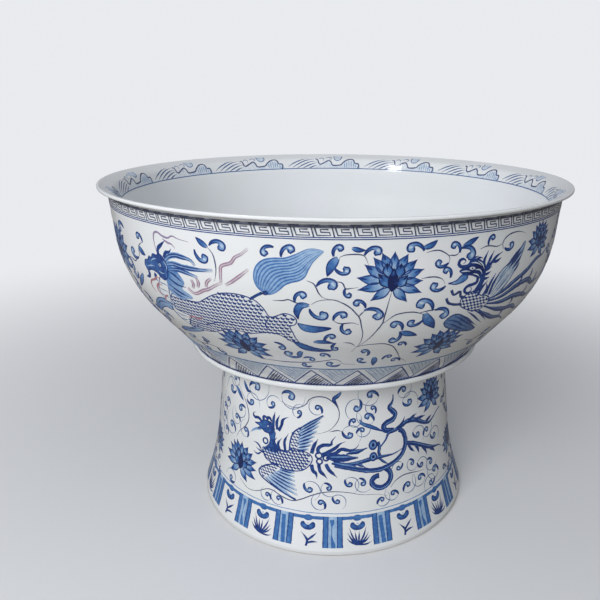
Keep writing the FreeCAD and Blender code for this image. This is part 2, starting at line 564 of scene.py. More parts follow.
def eased(path: Path, step: float, closed: bool = False) -> Path:
    """Runs a smooth curve through points.

    Args:
        path: Points to pass through.
        step: Longest distance between two points of the result.
        closed: True if the curve returns to its first point.

    Returns:
        Points along the curve.
    """
    count = len(path)
    if count < 3:
        return list(path)
    made = []
    for index in range(count if closed else count - 1):
        if closed:
            knots = [Vector(path[(index + shift) % count]) for shift in (-1, 0, 1, 2)]
        else:
            knots = [Vector(path[min(max(index + shift, 0), count - 1)]) for shift in (-1, 0, 1, 2)]
        first, start, end, last = knots
        parts = max(1, math.ceil((end - start).length / step))
        for part in range(parts):
            t = part / parts
            spot = start + (end - first) * (0.5 * t)
            spot += (first * 2.0 - start * 5.0 + end * 4.0 - last) * (0.5 * t * t)
            spot += (start * 3.0 - first - end * 3.0 + last) * (0.5 * t * t * t)
            made.append(tuple(spot))
    if not closed:
        made.append(path[-1])
    return made


def circle(count: int) -> Path:
    """Returns points evenly round a circle of radius 1."""
    turns = [math.tau * step / count for step in range(count)]
    return [(math.cos(turn), math.sin(turn)) for turn in turns]


def inside(spot: Point, outline: Path) -> bool:
    """Tells if a point lies within a closed outline.

    Args:
        spot: The point.
        outline: Points round the outline.

    Returns:
        True if it does.
    """
    u, v = spot
    odd = False
    for index, (end_u, end_v) in enumerate(outline):
        start_u, start_v = outline[index - 1]
        if (start_v > v) != (end_v > v):
            crossing = start_u + (v - start_v) * (end_u - start_u) / (end_v - start_v)
            odd = odd != (u < crossing)
    return odd


def offset(path: Path, distance: float) -> Path:
    """Moves a path sideways.

    Args:
        path: Points of the path.
        distance: How far, to the right of the way it goes on the sheet.

    Returns:
        The moved points.
    """
    moved = []
    last = len(path) - 1
    for index, (u, v) in enumerate(path):
        before = Vector(path[max(index - 1, 0)])
        after = Vector(path[min(index + 1, last)])
        run = (after - before).normalized()
        moved.append((u - run.y * distance, v + run.x * distance))
    return moved


class Sheet:
    """A flat drawing in millimetres: u runs right along the wall and v runs down it."""

    lift = 0.10
    layer_lift = 0.06
    nudge = 0.0025
    nudges = 17
    wash_step = 2.2
    wash_grid = 6.0
    wash_weld = 1e-4
    blob_points = 10

    def __init__(self) -> None:
        """Starts with nothing drawn."""
        self.spots: Path = []
        self.edges: list[tuple[int, int]] = []
        self.faces: list[list[int]] = []
        self.marks: dict[str, list[float]] = {
            name: [] for name in ("width", "start", "end", "straight", "ink", "rose", "lift")}
        self.drawn = 0

    def put(self, spots: Path, inks: list[float], layer: int, **marks: float) -> int:
        """Adds points with their marks.

        Args:
            spots: Points on the sheet.
            inks: Cobalt at each point.
            layer: How many coats lie beneath.
            marks: Other values, alike at all these points.

        Returns:
            The first point's place in the list.
        """
        first = len(self.spots)
        self.drawn += 1
        height = self.lift + layer * self.layer_lift + (self.drawn % self.nudges) * self.nudge
        self.spots += spots
        self.marks["ink"] += inks
        for name in self.marks:
            if name != "ink":
                value = height * MM if name == "lift" else marks.get(name, 0.0)
                self.marks[name] += [value] * len(spots)
        return first

    def line(self, path: Path, width: float, ink: Ink = Ink.DARK, taper: Taper = Taper.BRUSH,
             layer: int = 1, straight: bool = False, rose: float = 0.0) -> None:
        """Draws one brush stroke.

        Args:
            path: Points that the brush passes through.
            width: Full width of the stroke.
            ink: Cobalt that the brush carries.
            taper: How the stroke starts and ends.
            layer: How many coats lie beneath.
            straight: True if the runs between the points are straight.
            rose: Share of iron red in the colour, or of slate grey if below zero.
        """
        start, end = taper.value
        first = self.put(path, [ink.value] * len(path), layer, width=width * MM, start=start, end=end,
                         straight=float(straight), rose=rose)
        self.edges += [(first + index, first + index + 1) for index in range(len(path) - 1)]

    def wash(self, sides: list[Path], ink: Ink, tip: Ink | None = None, layer: int = 0,
             rose: float = 0.0, pooled: float = 0.06, straight: bool = False) -> None:
        """Fills a shape with colour.

        Args:
            sides: One closed smooth side, or several that meet in corners.
            ink: Cobalt at the outline's first point.
            tip: Cobalt at the point farthest from it, if it changes.
            layer: How many coats lie beneath.
            rose: Share of iron red in the colour, or of slate grey if below zero.
            pooled: Extra cobalt along the edge.
            straight: True if the sides' runs are straight.
        """
        outline: Path = []
        for side in sides:
            run = side if straight else eased(side, self.wash_step, closed=len(sides) == 1)
            outline += run if len(sides) == 1 else run[:-1]
        root = Vector(outline[0])
        reach = max((Vector(spot) - root).length for spot in outline)
        tip_ink = ink.value if tip is None else tip.value
        columns, rows = (range(math.floor(min(way) / self.wash_grid), math.ceil(max(way) / self.wash_grid))
                         for way in zip(*outline))
        grid = [(column * self.wash_grid, row * self.wash_grid) for column in columns for row in rows]
        within = [spot for spot in grid if inside(spot, outline)]
        corners = [Vector((u, -v)) for u, v in outline + within]
        border = [list(range(len(outline)))]
        flat, _, faces, sources, _, _ = delaunay_2d_cdt(corners, [], border, 1, self.wash_weld)
        inks = []
        for spot, source in zip(flat, sources):
            share = (Vector((spot.x, -spot.y)) - root).length / reach
            edge = pooled if any(index < len(outline) for index in source) else 0.0
            inks.append(min(1.0, ink.value + (tip_ink - ink.value) * share + edge))
        first = self.put([(spot.x, -spot.y) for spot in flat], inks, layer, rose=rose)
        self.faces += [[first + index for index in face] for face in faces]

    def blob(self, at: Point, size: Point, ink: Ink, layer: int = 0, turn: float = 0.0) -> None:
        """Fills an oval of a width and a height."""
        ring = [(u * size[0] / 2, v * size[1] / 2) for u, v in circle(self.blob_points)]
        self.wash([Placing(at, turn=turn).of(ring)], ink, layer=layer)

    def flat_object(self, name: str) -> Object:
        """Makes the drawing a flat mesh object, in metres, with its marks as attributes.

        Args:
            name: Name of the object.

        Returns:
            The flat object.
        """
        mesh = bpy.data.meshes.new(name)
        mesh.from_pydata([(u * MM, -v * MM, 0.0) for u, v in self.spots], self.edges, self.faces)
        for mark, values in self.marks.items():
            mesh.attributes.new(mark, "FLOAT", "POINT").data.foreach_set("value", values)
        return linked(name, mesh)


Colour = tuple[float, float, float, float]
SCREEN_FULL = 255
STRAIGHT_UNTIL = 10
STRAIGHT_SLOPE = 12.92
CURVE_SHIFT = 0.055
CURVE_POWER = 2.4


def colour(red: int, green: int, blue: int) -> Colour:
    """Turns a colour as a screen shows it into the linear values of a shader.

    Args:
        red: Red, from 0 to 255.
        green: Green, likewise.
        blue: Blue, likewise.

    Returns:
        Linear red, green and blue, and full opacity.
    """
    linear = []
    for part in (red, green, blue):
        share = part / SCREEN_FULL
        curved = ((share + CURVE_SHIFT) / (1 + CURVE_SHIFT)) ** CURVE_POWER
        linear.append(share / STRAIGHT_SLOPE if part <= STRAIGHT_UNTIL else curved)
    return (*linear, 1.0)


def material_graph(name: str) -> tuple[Graph, Material]:
    """Starts a material with one Principled shader, and returns its graph too."""
    material = bpy.data.materials.new(name)
    material.use_nodes = True
    return Graph(material.node_tree), material


class SurfaceGroups:
    """Shader groups that more than one finish uses."""

    ring_stretch = (6.0, 6.0, 34.0)
    ring_height = 1.8 * MM
    peel_scale = 320.0
    peel_height = 0.06 * MM
    cloud_scale = 11.0
    cloud_band = (0.35, 0.75)
    haze = 0.08
    speck_scale = 62.0
    speck_from = 0.94
    speck_edge = (0.02, 0.06)
    pit_scale = 1400.0
    pit_depth = 0.2 * MM
    dust_scale = 55.0
    dust_band = (0.45, 0.8)
    dust_roughness = 0.2

    def __init__(self) -> None:
        """Builds each group once."""
        self.glaze = self.glaze_group()
        self.grain = self.grain_group()

    def glaze_group(self) -> Tree:
        """Fired glaze: slow ripples of the throwing, fine orange peel and cloudy thickness.

        Returns:
            The finished group.
        """
        graph, given = started("fired_glaze", "Shader", {"Ripple": "Float", "Roughness": "Float"}, {
            "Roughness": "Float", "Thickness": "Float", "Specks": "Float", "Normal": "Vector"})
        spot = graph.spot()
        stretched = graph.add("ShaderNodeMapping", {"Vector": spot, "Scale": self.ring_stretch}).outputs[0]
        rings = graph.product(graph.noise(stretched, 1.0, 2.0)[0], self.ring_height)
        peel = graph.product(graph.noise(spot, self.peel_scale, 2.0)[0], self.peel_height)
        cloud = graph.noise(spot, self.cloud_scale, 3.0)[0]
        haze = graph.product(graph.band(cloud, *self.cloud_band), self.haze)
        cells = graph.add("ShaderNodeTexVoronoi", {"Vector": spot, "Scale": self.speck_scale}).outputs
        chosen = graph.math("GREATER_THAN", graph.parts(cells["Color"])["X"], self.speck_from)
        dot = graph.math("SUBTRACT", 1.0, graph.band(cells["Distance"], *self.speck_edge))
        graph.add("NodeGroupOutput", {
            "Roughness": graph.math("ADD", given["Roughness"], haze),
            "Thickness": cloud,
            "Specks": graph.product(chosen, dot),
            "Normal": graph.bump(graph.math("ADD", rings, peel), given["Ripple"])})
        return graph.tree

    def grain_group(self) -> Tree:
        """Moulded rubber: fine pitting and dust that lies in patches.

        Returns:
            The finished group.
        """
        graph, given = started("moulded_rubber", "Shader", {"Roughness": "Float", "Pitting": "Float"}, {
            "Roughness": "Float", "Dust": "Float", "Normal": "Vector"})
        spot = graph.spot()
        pits = graph.noise(spot, self.pit_scale, 2.0)[0]
        dust = graph.noise(spot, self.dust_scale, 5.0)[0]
        graph.add("NodeGroupOutput", {
            "Roughness": graph.math("ADD", given["Roughness"], graph.product(dust, self.dust_roughness)),
            "Dust": graph.band(dust, *self.dust_band),
            "Normal": graph.bump(graph.product(pits, self.pit_depth), given["Pitting"])})
        return graph.tree


@dataclass(frozen=True)
class Finish:
    """A surface that becomes one material."""

    name: str

    def material(self, groups: SurfaceGroups) -> Material:
        """Builds the material.

        Args:
            groups: Shader groups that the finish draws on.

        Returns:
            The finished material.
        """
        graph, material = material_graph(self.name)
        graph.wire(graph.only("BSDF_PRINCIPLED"), self.surface(graph, groups))
        return material

    def surface(self, graph: Graph, groups: SurfaceGroups) -> dict[str, object]:
        """Returns what the shader takes, by the names of its inputs."""
        raise NotImplementedError


@dataclass(frozen=True)
class Porcelain(Finish):
    """White glazed body, cooler where the glaze is thick, bare biscuit under the foot."""

    bare_below: float
    white: Colour = colour(229, 232, 236)
    cool: Colour = colour(226, 230, 232)
    speck: Colour = colour(150, 140, 128)
    biscuit: Colour = colour(214, 200, 178)
    thick: tuple[float, float] = (0.3, 0.7)
    roughness: float = 0.11
    bare_roughness: float = 0.8
    bare_edge: float = 0.6 * MM
    ripple: float = 0.35

    def surface(self, graph: Graph, groups: SurfaceGroups) -> dict[str, object]:
        """Wires glazed white down to the bare foot.

        Args:
            graph: The material's graph.
            groups: Shader groups to draw on.

        Returns:
            Values and sockets by the names of the shader's inputs.
        """
        glaze = graph.group(groups.glaze, {"Ripple": self.ripple, "Roughness": self.roughness})
        body = graph.tint(graph.band(glaze["Thickness"], *self.thick), self.white, self.cool)
        fired = graph.tint(glaze["Specks"], body, self.speck)
        height = graph.parts(graph.spot())["Z"]
        glazed = graph.band(height, self.bare_below, self.bare_below + self.bare_edge)
        bare = graph.math("SUBTRACT", 1.0, glazed)
        return {"Base Color": graph.tint(bare, fired, self.biscuit),
                "Roughness": graph.blend(bare, glaze["Roughness"], self.bare_roughness),
                "Normal": glaze["Normal"]}


@dataclass(frozen=True)
class Cobalt(Finish):
    """Underglaze brushwork: cobalt that pools and thins, and a little iron red, under the same glaze."""

    ground: Colour = colour(224, 228, 232)
    pale: Colour = colour(156, 186, 218)
    middle: Colour = colour(66, 116, 178)
    dark: Colour = colour(33, 64, 130)
    deep: Colour = colour(15, 31, 82)
    loads: tuple[float, ...] = (0.0, 0.26, 0.6, 0.82, 1.0)
    rose: Colour = colour(184, 122, 116)
    slate: Colour = colour(74, 78, 88)
    pool_scale: float = 230.0
    pooling: float = 0.34
    roughness: float = 0.10
    ripple: float = 0.35

    def surface(self, graph: Graph, groups: SurfaceGroups) -> dict[str, object]:
        """Wires the colour of each stroke's own mark of cobalt, red and grey.

        Args:
            graph: The material's graph.
            groups: Shader groups to draw on.

        Returns:
            Values and sockets by the names of the shader's inputs.
        """
        glaze = graph.group(groups.glaze, {"Ripple": self.ripple, "Roughness": self.roughness})
        pool = graph.noise(graph.spot(), self.pool_scale, 3.0)[0]
        uneven = graph.product(graph.math("SUBTRACT", pool, 0.5), self.pooling)
        load = graph.math("ADD", graph.named("ink"), uneven)
        ramp = graph.add("ShaderNodeValToRGB", {0: load})
        elements = ramp.color_ramp.elements
        while len(elements) < len(self.loads):
            elements.new(0.5)
        shades = (self.ground, self.pale, self.middle, self.dark, self.deep)
        for element, place, shade in zip(elements, self.loads, shades):
            element.position = place
            element.color = shade
        red = graph.named("rose")
        warm = graph.tint(graph.math("MAXIMUM", red, 0.0), ramp.outputs[0], self.rose)
        grey = graph.product(graph.math("MAXIMUM", graph.product(red, -1.0), 0.0), load)
        return {"Base Color": graph.tint(grey, warm, self.slate),
                "Roughness": glaze["Roughness"],
                "Normal": glaze["Normal"]}


@dataclass(frozen=True)
class Rubber(Finish):
    """Matte moulded rubber with a little dust."""

    shade: Colour
    dust: Colour = colour(120, 117, 112)
    dusting: float = 0.35
    roughness: float = 0.62
    pitting: float = 0.5

    def surface(self, graph: Graph, groups: SurfaceGroups) -> dict[str, object]:
        """Wires dusty dark rubber.

        Args:
            graph: The material's graph.
            groups: Shader groups to draw on.

        Returns:
            Values and sockets by the names of the shader's inputs.
        """
        grain = graph.group(groups.grain, {"Roughness": self.roughness, "Pitting": self.pitting})
        return {"Base Color": graph.tint(graph.product(grain["Dust"], self.dusting), self.shade, self.dust),
                "Roughness": grain["Roughness"],
                "Normal": grain["Normal"]}


class BrushSheet(Sheet):
    """A drawing sheet with the strokes of flower scrolls, birds and beasts."""

    curl_outer = [(0.0, 0.0), (0.03, -0.37), (-0.2, -0.74), (-0.57, -0.91), (-0.86, -0.86), (-1.0, -0.63)]
    curl_end = [(-1.0, -0.63), (-0.96, -0.42), (-0.82, -0.38), (-0.7, -0.28), (-0.57, -0.36), (-0.54, -0.56)]
    curl_inner = [(-0.54, -0.56), (-0.42, -0.62), (-0.28, -0.55), (-0.12, -0.32), (-0.04, -0.14), (0.0, 0.0)]
    curl_head = (-0.72, -0.66)
    curl_swell = 1.1
    curl_light = (0.28, 0.17)
    curl_light_turn = 20.0
    curl_widths = (1.9, 1.7, 1.2)
    sweep_steps = 6
    sweep_growth = 0.16
    sweep_width = 0.9
    lotus_petals = [
        ((1, -28), (1, -11)), ((-11, -27), (-4, -14)), ((-19, -23), (-8, -8)), ((-27, -16), (-14, -3)),
        ((-34, -3), (-16, 3)), ((-33, 10), (-9, 9)), ((-20, 22), (-1, 14)), ((17, 25), (2, 14)),
        ((31, 16), (10, 10)), ((31, 3), (12, 6)), ((31, -9), (12, -1)), ((23, -19), (12, -6)),
        ((14, -25), (7, -13))]
    lotus_heart = [((-14, -7), (-2, 8)), ((-6, -17), (-4, -3)), ((8, -16), (6, -2)), ((15, -4), (5, 8))]
    lotus_bud = [[(1, -12), (-3.8, -2), (-4, 7), (0, 13)], [(0, 13), (6, 7), (5.6, -2), (1, -12)]]
    petal_width = 9.0
    heart_width = 9.4
    petal_root = 0.58
    petal_half = [(0.22, 0.72), (0.45, 1.0), (0.68, 0.68), (0.87, 0.24)]
    petal_edge = 1.4
    petal_point = 2.4
    petal_point_run = (0.6, 0.82)
    leaf_step = 3.0
    leaf_blunt = 0.1
    leaf_edge = 1.3
    vine_width = 1.3
    vine_grey = -0.6
    branch_step = 2.0
    branch_pitch = 1.5
    branch_lead = 0.6
    branch_aside = 0.8
    scale_bow = [(-1.0, -0.7), (-0.1, 0.6), (1.0, -0.2)]
    scale_step = 4.0

    def across(self, pitch: float, level: float, width: float, ink: Ink = Ink.DARK, rose: float = 0.0,
               straight: bool = False, start: float = 0.0) -> None:
        """Draws a level line through one unit of a band, from its start over its pitch."""
        path = [(start + pitch * share, level) for share in (0.0, 0.5, 1.0)]
        self.line(path, width, ink, Taper.EVEN, straight=straight, rose=rose)

    def petal(self, tip: Point, base: Point, width: float, light: Ink = Ink.FAINT,
              dark: Ink = Ink.DARK, layer: int = 0) -> None:
        """Paints one pointed petal, pale at its base and dark at its tip.

        Args:
            tip: Where the petal points.
            base: Where it grows from.
            width: Its greatest width.
            light: Cobalt at the base.
            dark: Cobalt along the edges.
            layer: How many coats lie beneath.
        """
        axis = Vector(tip) - Vector(base)
        aside = Vector((-axis.y, axis.x)).normalized() * (width / 2)
        root = Vector(base)
        left, right = ([base, *(tuple(root + axis * along + aside * (hand * share))
                                for along, share in self.petal_half), tip] for hand in (1.0, -1.0))
        self.wash([left, right[::-1]], light, Ink.DARK, layer)
        point = [*(tuple(root + axis * share) for share in self.petal_point_run), tip]
        for path, stroke in ((left, self.petal_edge), (right, self.petal_edge), (point, self.petal_point)):
            self.line(path, stroke, dark, layer=layer + 1)

    def lotus(self, place: Placing) -> None:
        """Paints an open lotus.

        Args:
            place: Where the flower lies, how large and how turned.
        """
        for tip, base in self.lotus_petals:
            root = (base[0] * self.petal_root, base[1] * self.petal_root)
            self.petal(*place.of([tip, root]), self.petal_width * place.size)
        for tip, base in self.lotus_heart:
            self.petal(*place.of([tip, base]), self.heart_width * place.size, Ink.WASH, Ink.DEEP, 2)
        self.wash([place.of(side) for side in self.lotus_bud], Ink.DEEP, layer=4)

    def curl(self, tail: Point, head: Point, left: bool = False, sweep: float = 0.0) -> None:
        """Paints one comma-shaped scroll leaf.

        Args:
            tail: Where the leaf leaves its stem.
            head: Middle of its fat end.
            left: True if it bulges to the left of the way from tail to head.
            sweep: How far its stem goes round the head, in degrees.
        """
        run = Vector(head) - Vector(tail)
        own = Vector((-self.curl_head[0] if left else self.curl_head[0], self.curl_head[1]))
        turn = math.degrees(math.atan2(run.y, run.x) - math.atan2(own.y, own.x))
        size = run.length / own.length * self.curl_swell
        place = Placing(tail, size, turn, left)
        sides = [place.of(side) for side in (self.curl_outer, self.curl_end, self.curl_inner)]
        self.wash(sides, Ink.DARK, Ink.PALE)
        light = (size * self.curl_light[0], size * self.curl_light[1])
        self.blob(place.of([self.curl_head])[0], light, Ink.FAINT, 1, turn + self.curl_light_turn)
        for side, width, taper in zip(sides, self.curl_widths, (Taper.EVEN, Taper.EVEN, Taper.HEAD)):
            self.line(side, width, taper=taper)
        if sweep:
            self.sweep(head, run, math.radians(-sweep if left else sweep))

    def sweep(self, head: Point, run: Vector, whole: float) -> None:
        """Draws the thin stem that winds outward round a scroll leaf's head.

        Args:
            head: Middle of the leaf's fat end.
            run: Way from the leaf's tail to its head.
            whole: How far the stem goes round, in radians, below zero to the left.
        """
        first = math.atan2(-run.y, -run.x)
        path = []
        for step in range(self.sweep_steps + 1):
            angle = whole * step / self.sweep_steps
            reach = run.length * (1 + self.sweep_growth * abs(angle))
            way = first + angle
            path.append((head[0] + reach * math.cos(way), head[1] + reach * math.sin(way)))
        self.vine(path, self.sweep_width, Ink.MIDDLE)

    def curls(self, places: list[tuple[Point, Point]], left: bool, sweep: float = 0.0) -> None:
        """Paints many scroll leaves that bulge to the same side."""
        for tail, head in places:
            self.curl(tail, head, left, sweep)

    def leaf(self, path: Path, width: float) -> None:
        """Paints one pointed leaf.

        Args:
            path: Its middle, from its stalk to its tip.
            width: Its greatest width.
        """
        full = eased(path, self.leaf_step)
        last = len(full) - 1
        shares = [self.leaf_blunt + (1.0 - self.leaf_blunt) * index / last for index in range(last + 1)]
        halves = [math.sin(math.pi * share) * width / 2 for share in shares]
        left, right = ([offset(full, hand * half)[index] for index, half in enumerate(halves)]
                       for hand in (1.0, -1.0))
        self.wash([left, right[::-1]], Ink.WASH, Ink.DARK, straight=True)
        for side in (left, right):
            self.line(side, self.leaf_edge)

    def vine(self, path: Path, width: float = vine_width, ink: Ink = Ink.DARK) -> None:
        """Draws one thin stem."""
        self.line(path, width, ink, rose=self.vine_grey)

    def branch(self, path: Path, leaf: float) -> None:
        """Draws a stem with scroll leaves to its left and right by turns.

        Args:
            path: Course of the stem.
            leaf: Length of one leaf.
        """
        self.vine(path)
        full = eased(path, self.branch_step)
        gone = -leaf * self.branch_lead
        right = False
        for start, end in zip(full, full[1:]):
            run = Vector(end) - Vector(start)
            gone += run.length
            if gone < leaf * self.branch_pitch:
                continue
            gone = 0.0
            right = not right
            run.normalize()
            reach = leaf * (self.branch_aside if right else -self.branch_aside)
            aside = Vector((-run.y, run.x)) * reach
            self.curl(end, tuple(Vector(end) + run * (leaf * self.branch_lead) + aside), not right)

    def scales(self, outline: Path, pitch: Point, reach: float, width: float) -> None:
        """Covers a shape with staggered dark crescents on a white ground.

        Args:
            outline: Closed outline of the scaled shape.
            pitch: Distance between crescents along a row and between rows.
            reach: Half the length of one crescent.
            width: Width of its stroke.
        """
        smooth = eased(outline, self.scale_step, closed=True)
        self.wash([outline], Ink.WHITE, pooled=0.0)
        near, low = (min(way) for way in zip(*smooth))
        columns, rows = (math.ceil((max(way) - min(way)) / step) for way, step in zip(zip(*smooth), pitch))
        for row in range(rows):
            for column in range(columns):
                u = near + (column + 0.5 * (row % 2)) * pitch[0]
                v = low + (row + 0.5) * pitch[1]
                if inside((u, v), smooth) and inside((u + reach, v), smooth):
                    bow = [(u + reach * along, v + reach * down) for along, down in self.scale_bow]
                    self.line(bow, width)


class Mark:
    """Something that a brush puts on a sheet."""

    def put(self, sheet: BrushSheet) -> None:
        """Paints the mark."""
        raise NotImplementedError


@dataclass(frozen=True)
class Stroke(Mark):
    """Alike brush strokes."""

    paths: list[Path]
    width: float
    ink: Ink = Ink.DARK
    taper: Taper = Taper.BRUSH
    layer: int = 1
    rose: float = 0.0

    def put(self, sheet: BrushSheet) -> None:
        """Paints the strokes in their order."""
        for path in self.paths:
            sheet.line(path, self.width, self.ink, self.taper, self.layer, rose=self.rose)


@dataclass(frozen=True)
class Shape(Mark):
    """A filled shape, with a drawn outline if the edge has a width."""

    outline: Path
    ink: Ink
    tip: Ink | None = None
    layer: int = 0
    edge: float = 1.1
    rose: float = 0.0

    def put(self, sheet: BrushSheet) -> None:
        """Paints the fill, then its outline.

        Args:
            sheet: Sheet to draw on.
        """
        sheet.wash([self.outline], self.ink, self.tip, self.layer, self.rose)
        if self.edge:
            ring = [*self.outline, self.outline[0]]
            sheet.line(ring, self.edge, taper=Taper.EVEN, layer=self.layer + 1, rose=self.rose)


@dataclass(frozen=True)
class Scaled(Mark):
    """A shape covered with scales or small feathers, and its outline."""

    outline: Path
    pitch: Point
    reach: float
    width: float
    edge: float

    def put(self, sheet: BrushSheet) -> None:
        """Paints the scales, then the outline."""
        sheet.scales(self.outline, self.pitch, self.reach, self.width)
        sheet.line([*self.outline, self.outline[0]], self.edge, taper=Taper.EVEN)


@dataclass(frozen=True)
class Spots(Mark):
    """Ovals one on the other at one place, each with its size and its cobalt."""

    at: Point
    coats: list[tuple[Point, Ink]]
    layer: int = 2
    turn: float = 0.0

    def put(self, sheet: BrushSheet) -> None:
        """Paints the ovals from the lowest up."""
        for height, (size, ink) in enumerate(self.coats, self.layer):
            sheet.blob(self.at, size, ink, height, self.turn)


@dataclass(frozen=True)
class Banner(Mark):
    """Broad strokes with a thin stroke along each side."""

    paths: list[Path]
    width: float
    ink: Ink
    taper: Taper
    asides: tuple[float, float]
    edge: float
    edge_ink: Ink = Ink.DARK
    rose: float = 0.0
    edge_rose: float = 0.0

    def put(self, sheet: BrushSheet) -> None:
        """Paints each broad stroke, then its sides.

        Args:
            sheet: Sheet to draw on.
        """
        for path in self.paths:
            sheet.line(path, self.width, self.ink, self.taper, rose=self.rose)
            for aside in self.asides:
                sheet.line(offset(path, aside), self.edge, self.edge_ink, layer=2, rose=self.edge_rose)


@dataclass(frozen=True)
class Plumes(Mark):
    """Broad dark feathers, each with its width and its taper and a pale streak near one edge."""

    feathers: list[tuple[Path, float, Taper]]
    streak: float = 0.16
    step: float = 4.0

    def put(self, sheet: BrushSheet) -> None:
        """Paints the feathers in their order.

        Args:
            sheet: Sheet to draw on.
        """
        for path, width, taper in self.feathers:
            sheet.line(path, width, taper=taper, layer=0)
            streak = width * self.streak
            sheet.line(offset(eased(path, self.step), -streak), streak, Ink.STEM)


@dataclass(frozen=True)
class Wing(Mark):
    """A spread wing: long feathers with dark quills, a shoulder with small dashes, a dark leading edge.

    The feathers grow from the line between two roots to their tips.
    """

    shoulder: Path
    edge: Path
    roots: Path
    tips: Path
    feather: float = 6.2
    quill: float = 2.2
    quill_aside: float = 0.25
    pitch: Point = (4.4, 3.9)
    reach: float = 2.0
    dash: float = 2.3
    edge_width: float = 2.0

    def put(self, sheet: BrushSheet) -> None:
        """Paints the feathers, the shoulder and the edge.

        Args:
            sheet: Sheet to draw on.
        """
        first, last = (Vector(spot) for spot in self.roots)
        for index, tip in enumerate(self.tips):
            root = first.lerp(last, index / (len(self.tips) - 1))
            path = [tuple(root), tuple(root.lerp(Vector(tip), 0.5)), tip]
            sheet.line(path, self.feather, Ink.PALE, layer=0)
            sheet.line(offset(path, self.feather * self.quill_aside), self.quill)
        sheet.scales(self.shoulder, self.pitch, self.reach, self.dash)
        sheet.line(self.edge, self.edge_width, taper=Taper.EVEN, layer=2)


@dataclass(frozen=True)
class BushyTail(Mark):
    """A tail of flowing dark stripes on a wash, between an upper and a lower edge."""

    upper: Path
    lower: Path
    stripes: int = 9
    width: float = 1.5
    lengths: int = 3

    def put(self, sheet: BrushSheet) -> None:
        """Paints the wash, then the stripes from the upper edge to the lower.

        Args:
            sheet: Sheet to draw on.
        """
        sheet.wash([self.upper, self.lower[::-1]], Ink.WASH, Ink.PALE)
        for stripe in range(self.stripes + 1):
            share = stripe / self.stripes
            path = [tuple(Vector(high).lerp(Vector(low), share))
                    for high, low in zip(self.upper, self.lower)]
            short = stripe % self.lengths if 0 < stripe < self.stripes else 0
            sheet.line(path[:len(path) - short], self.width, Ink.MIDDLE)


class Drawing:
    """What is repeated round a wall; its marks are painted in the order they are written in."""

    count = 2
    tremor = 0.5
    step = 2.0

    def sheet(self, pitch: float) -> BrushSheet:
        """Draws one repeat.

        Args:
            pitch: Length of one repeat, in millimetres.

        Returns:
            The sheet it is drawn on.
        """
        sheet = BrushSheet()
        for mark in vars(type(self)).values():
            if isinstance(mark, Mark):
                mark.put(sheet)
        self.draw(sheet, pitch)
        return sheet

    def draw(self, sheet: BrushSheet, pitch: float) -> None:
        """Draws what there is besides the marks, which here is nothing."""


class KeyFret(Drawing):
    """Band of squared spirals under the lip."""

    count = 95
    tremor = 0.35
    levels = (13.2, 14.0, 14.8, 15.6, 16.4, 27.9)
    grey = -0.85
    lines = ((14.6, grey), (26.0, 0.0), (27.9, 0.0))
    line_width = 1.0
    side = [(1.0, 16.0), (15.8, 16.0), (18.2, 25.8)]
    spiral = [(0.2, 16.0), (2.6, 24.0), (14.6, 24.0), (13.6, 21.1), (6.2, 21.1), (5.5, 18.4), (12.8, 18.4)]
    stroke = 1.45

    def draw(self, sheet: BrushSheet, pitch: float) -> None:
        """Draws one unit of the band on a white ground.

        Args:
            sheet: Sheet to draw on.
            pitch: Length of one repeat, in millimetres.
        """
        for high, low in zip(self.levels, self.levels[1:]):
            strip = [(0.0, high), (pitch, high), (pitch, low), (0.0, low)]
            sheet.wash([strip], Ink.WHITE, straight=True, pooled=0.0)
        for path in (self.side, self.spiral):
            sheet.line(path, self.stroke, taper=Taper.EVEN, straight=True, rose=self.grey)
        for level, grey in self.lines:
            sheet.across(pitch, level, self.line_width, rose=grey, straight=True)


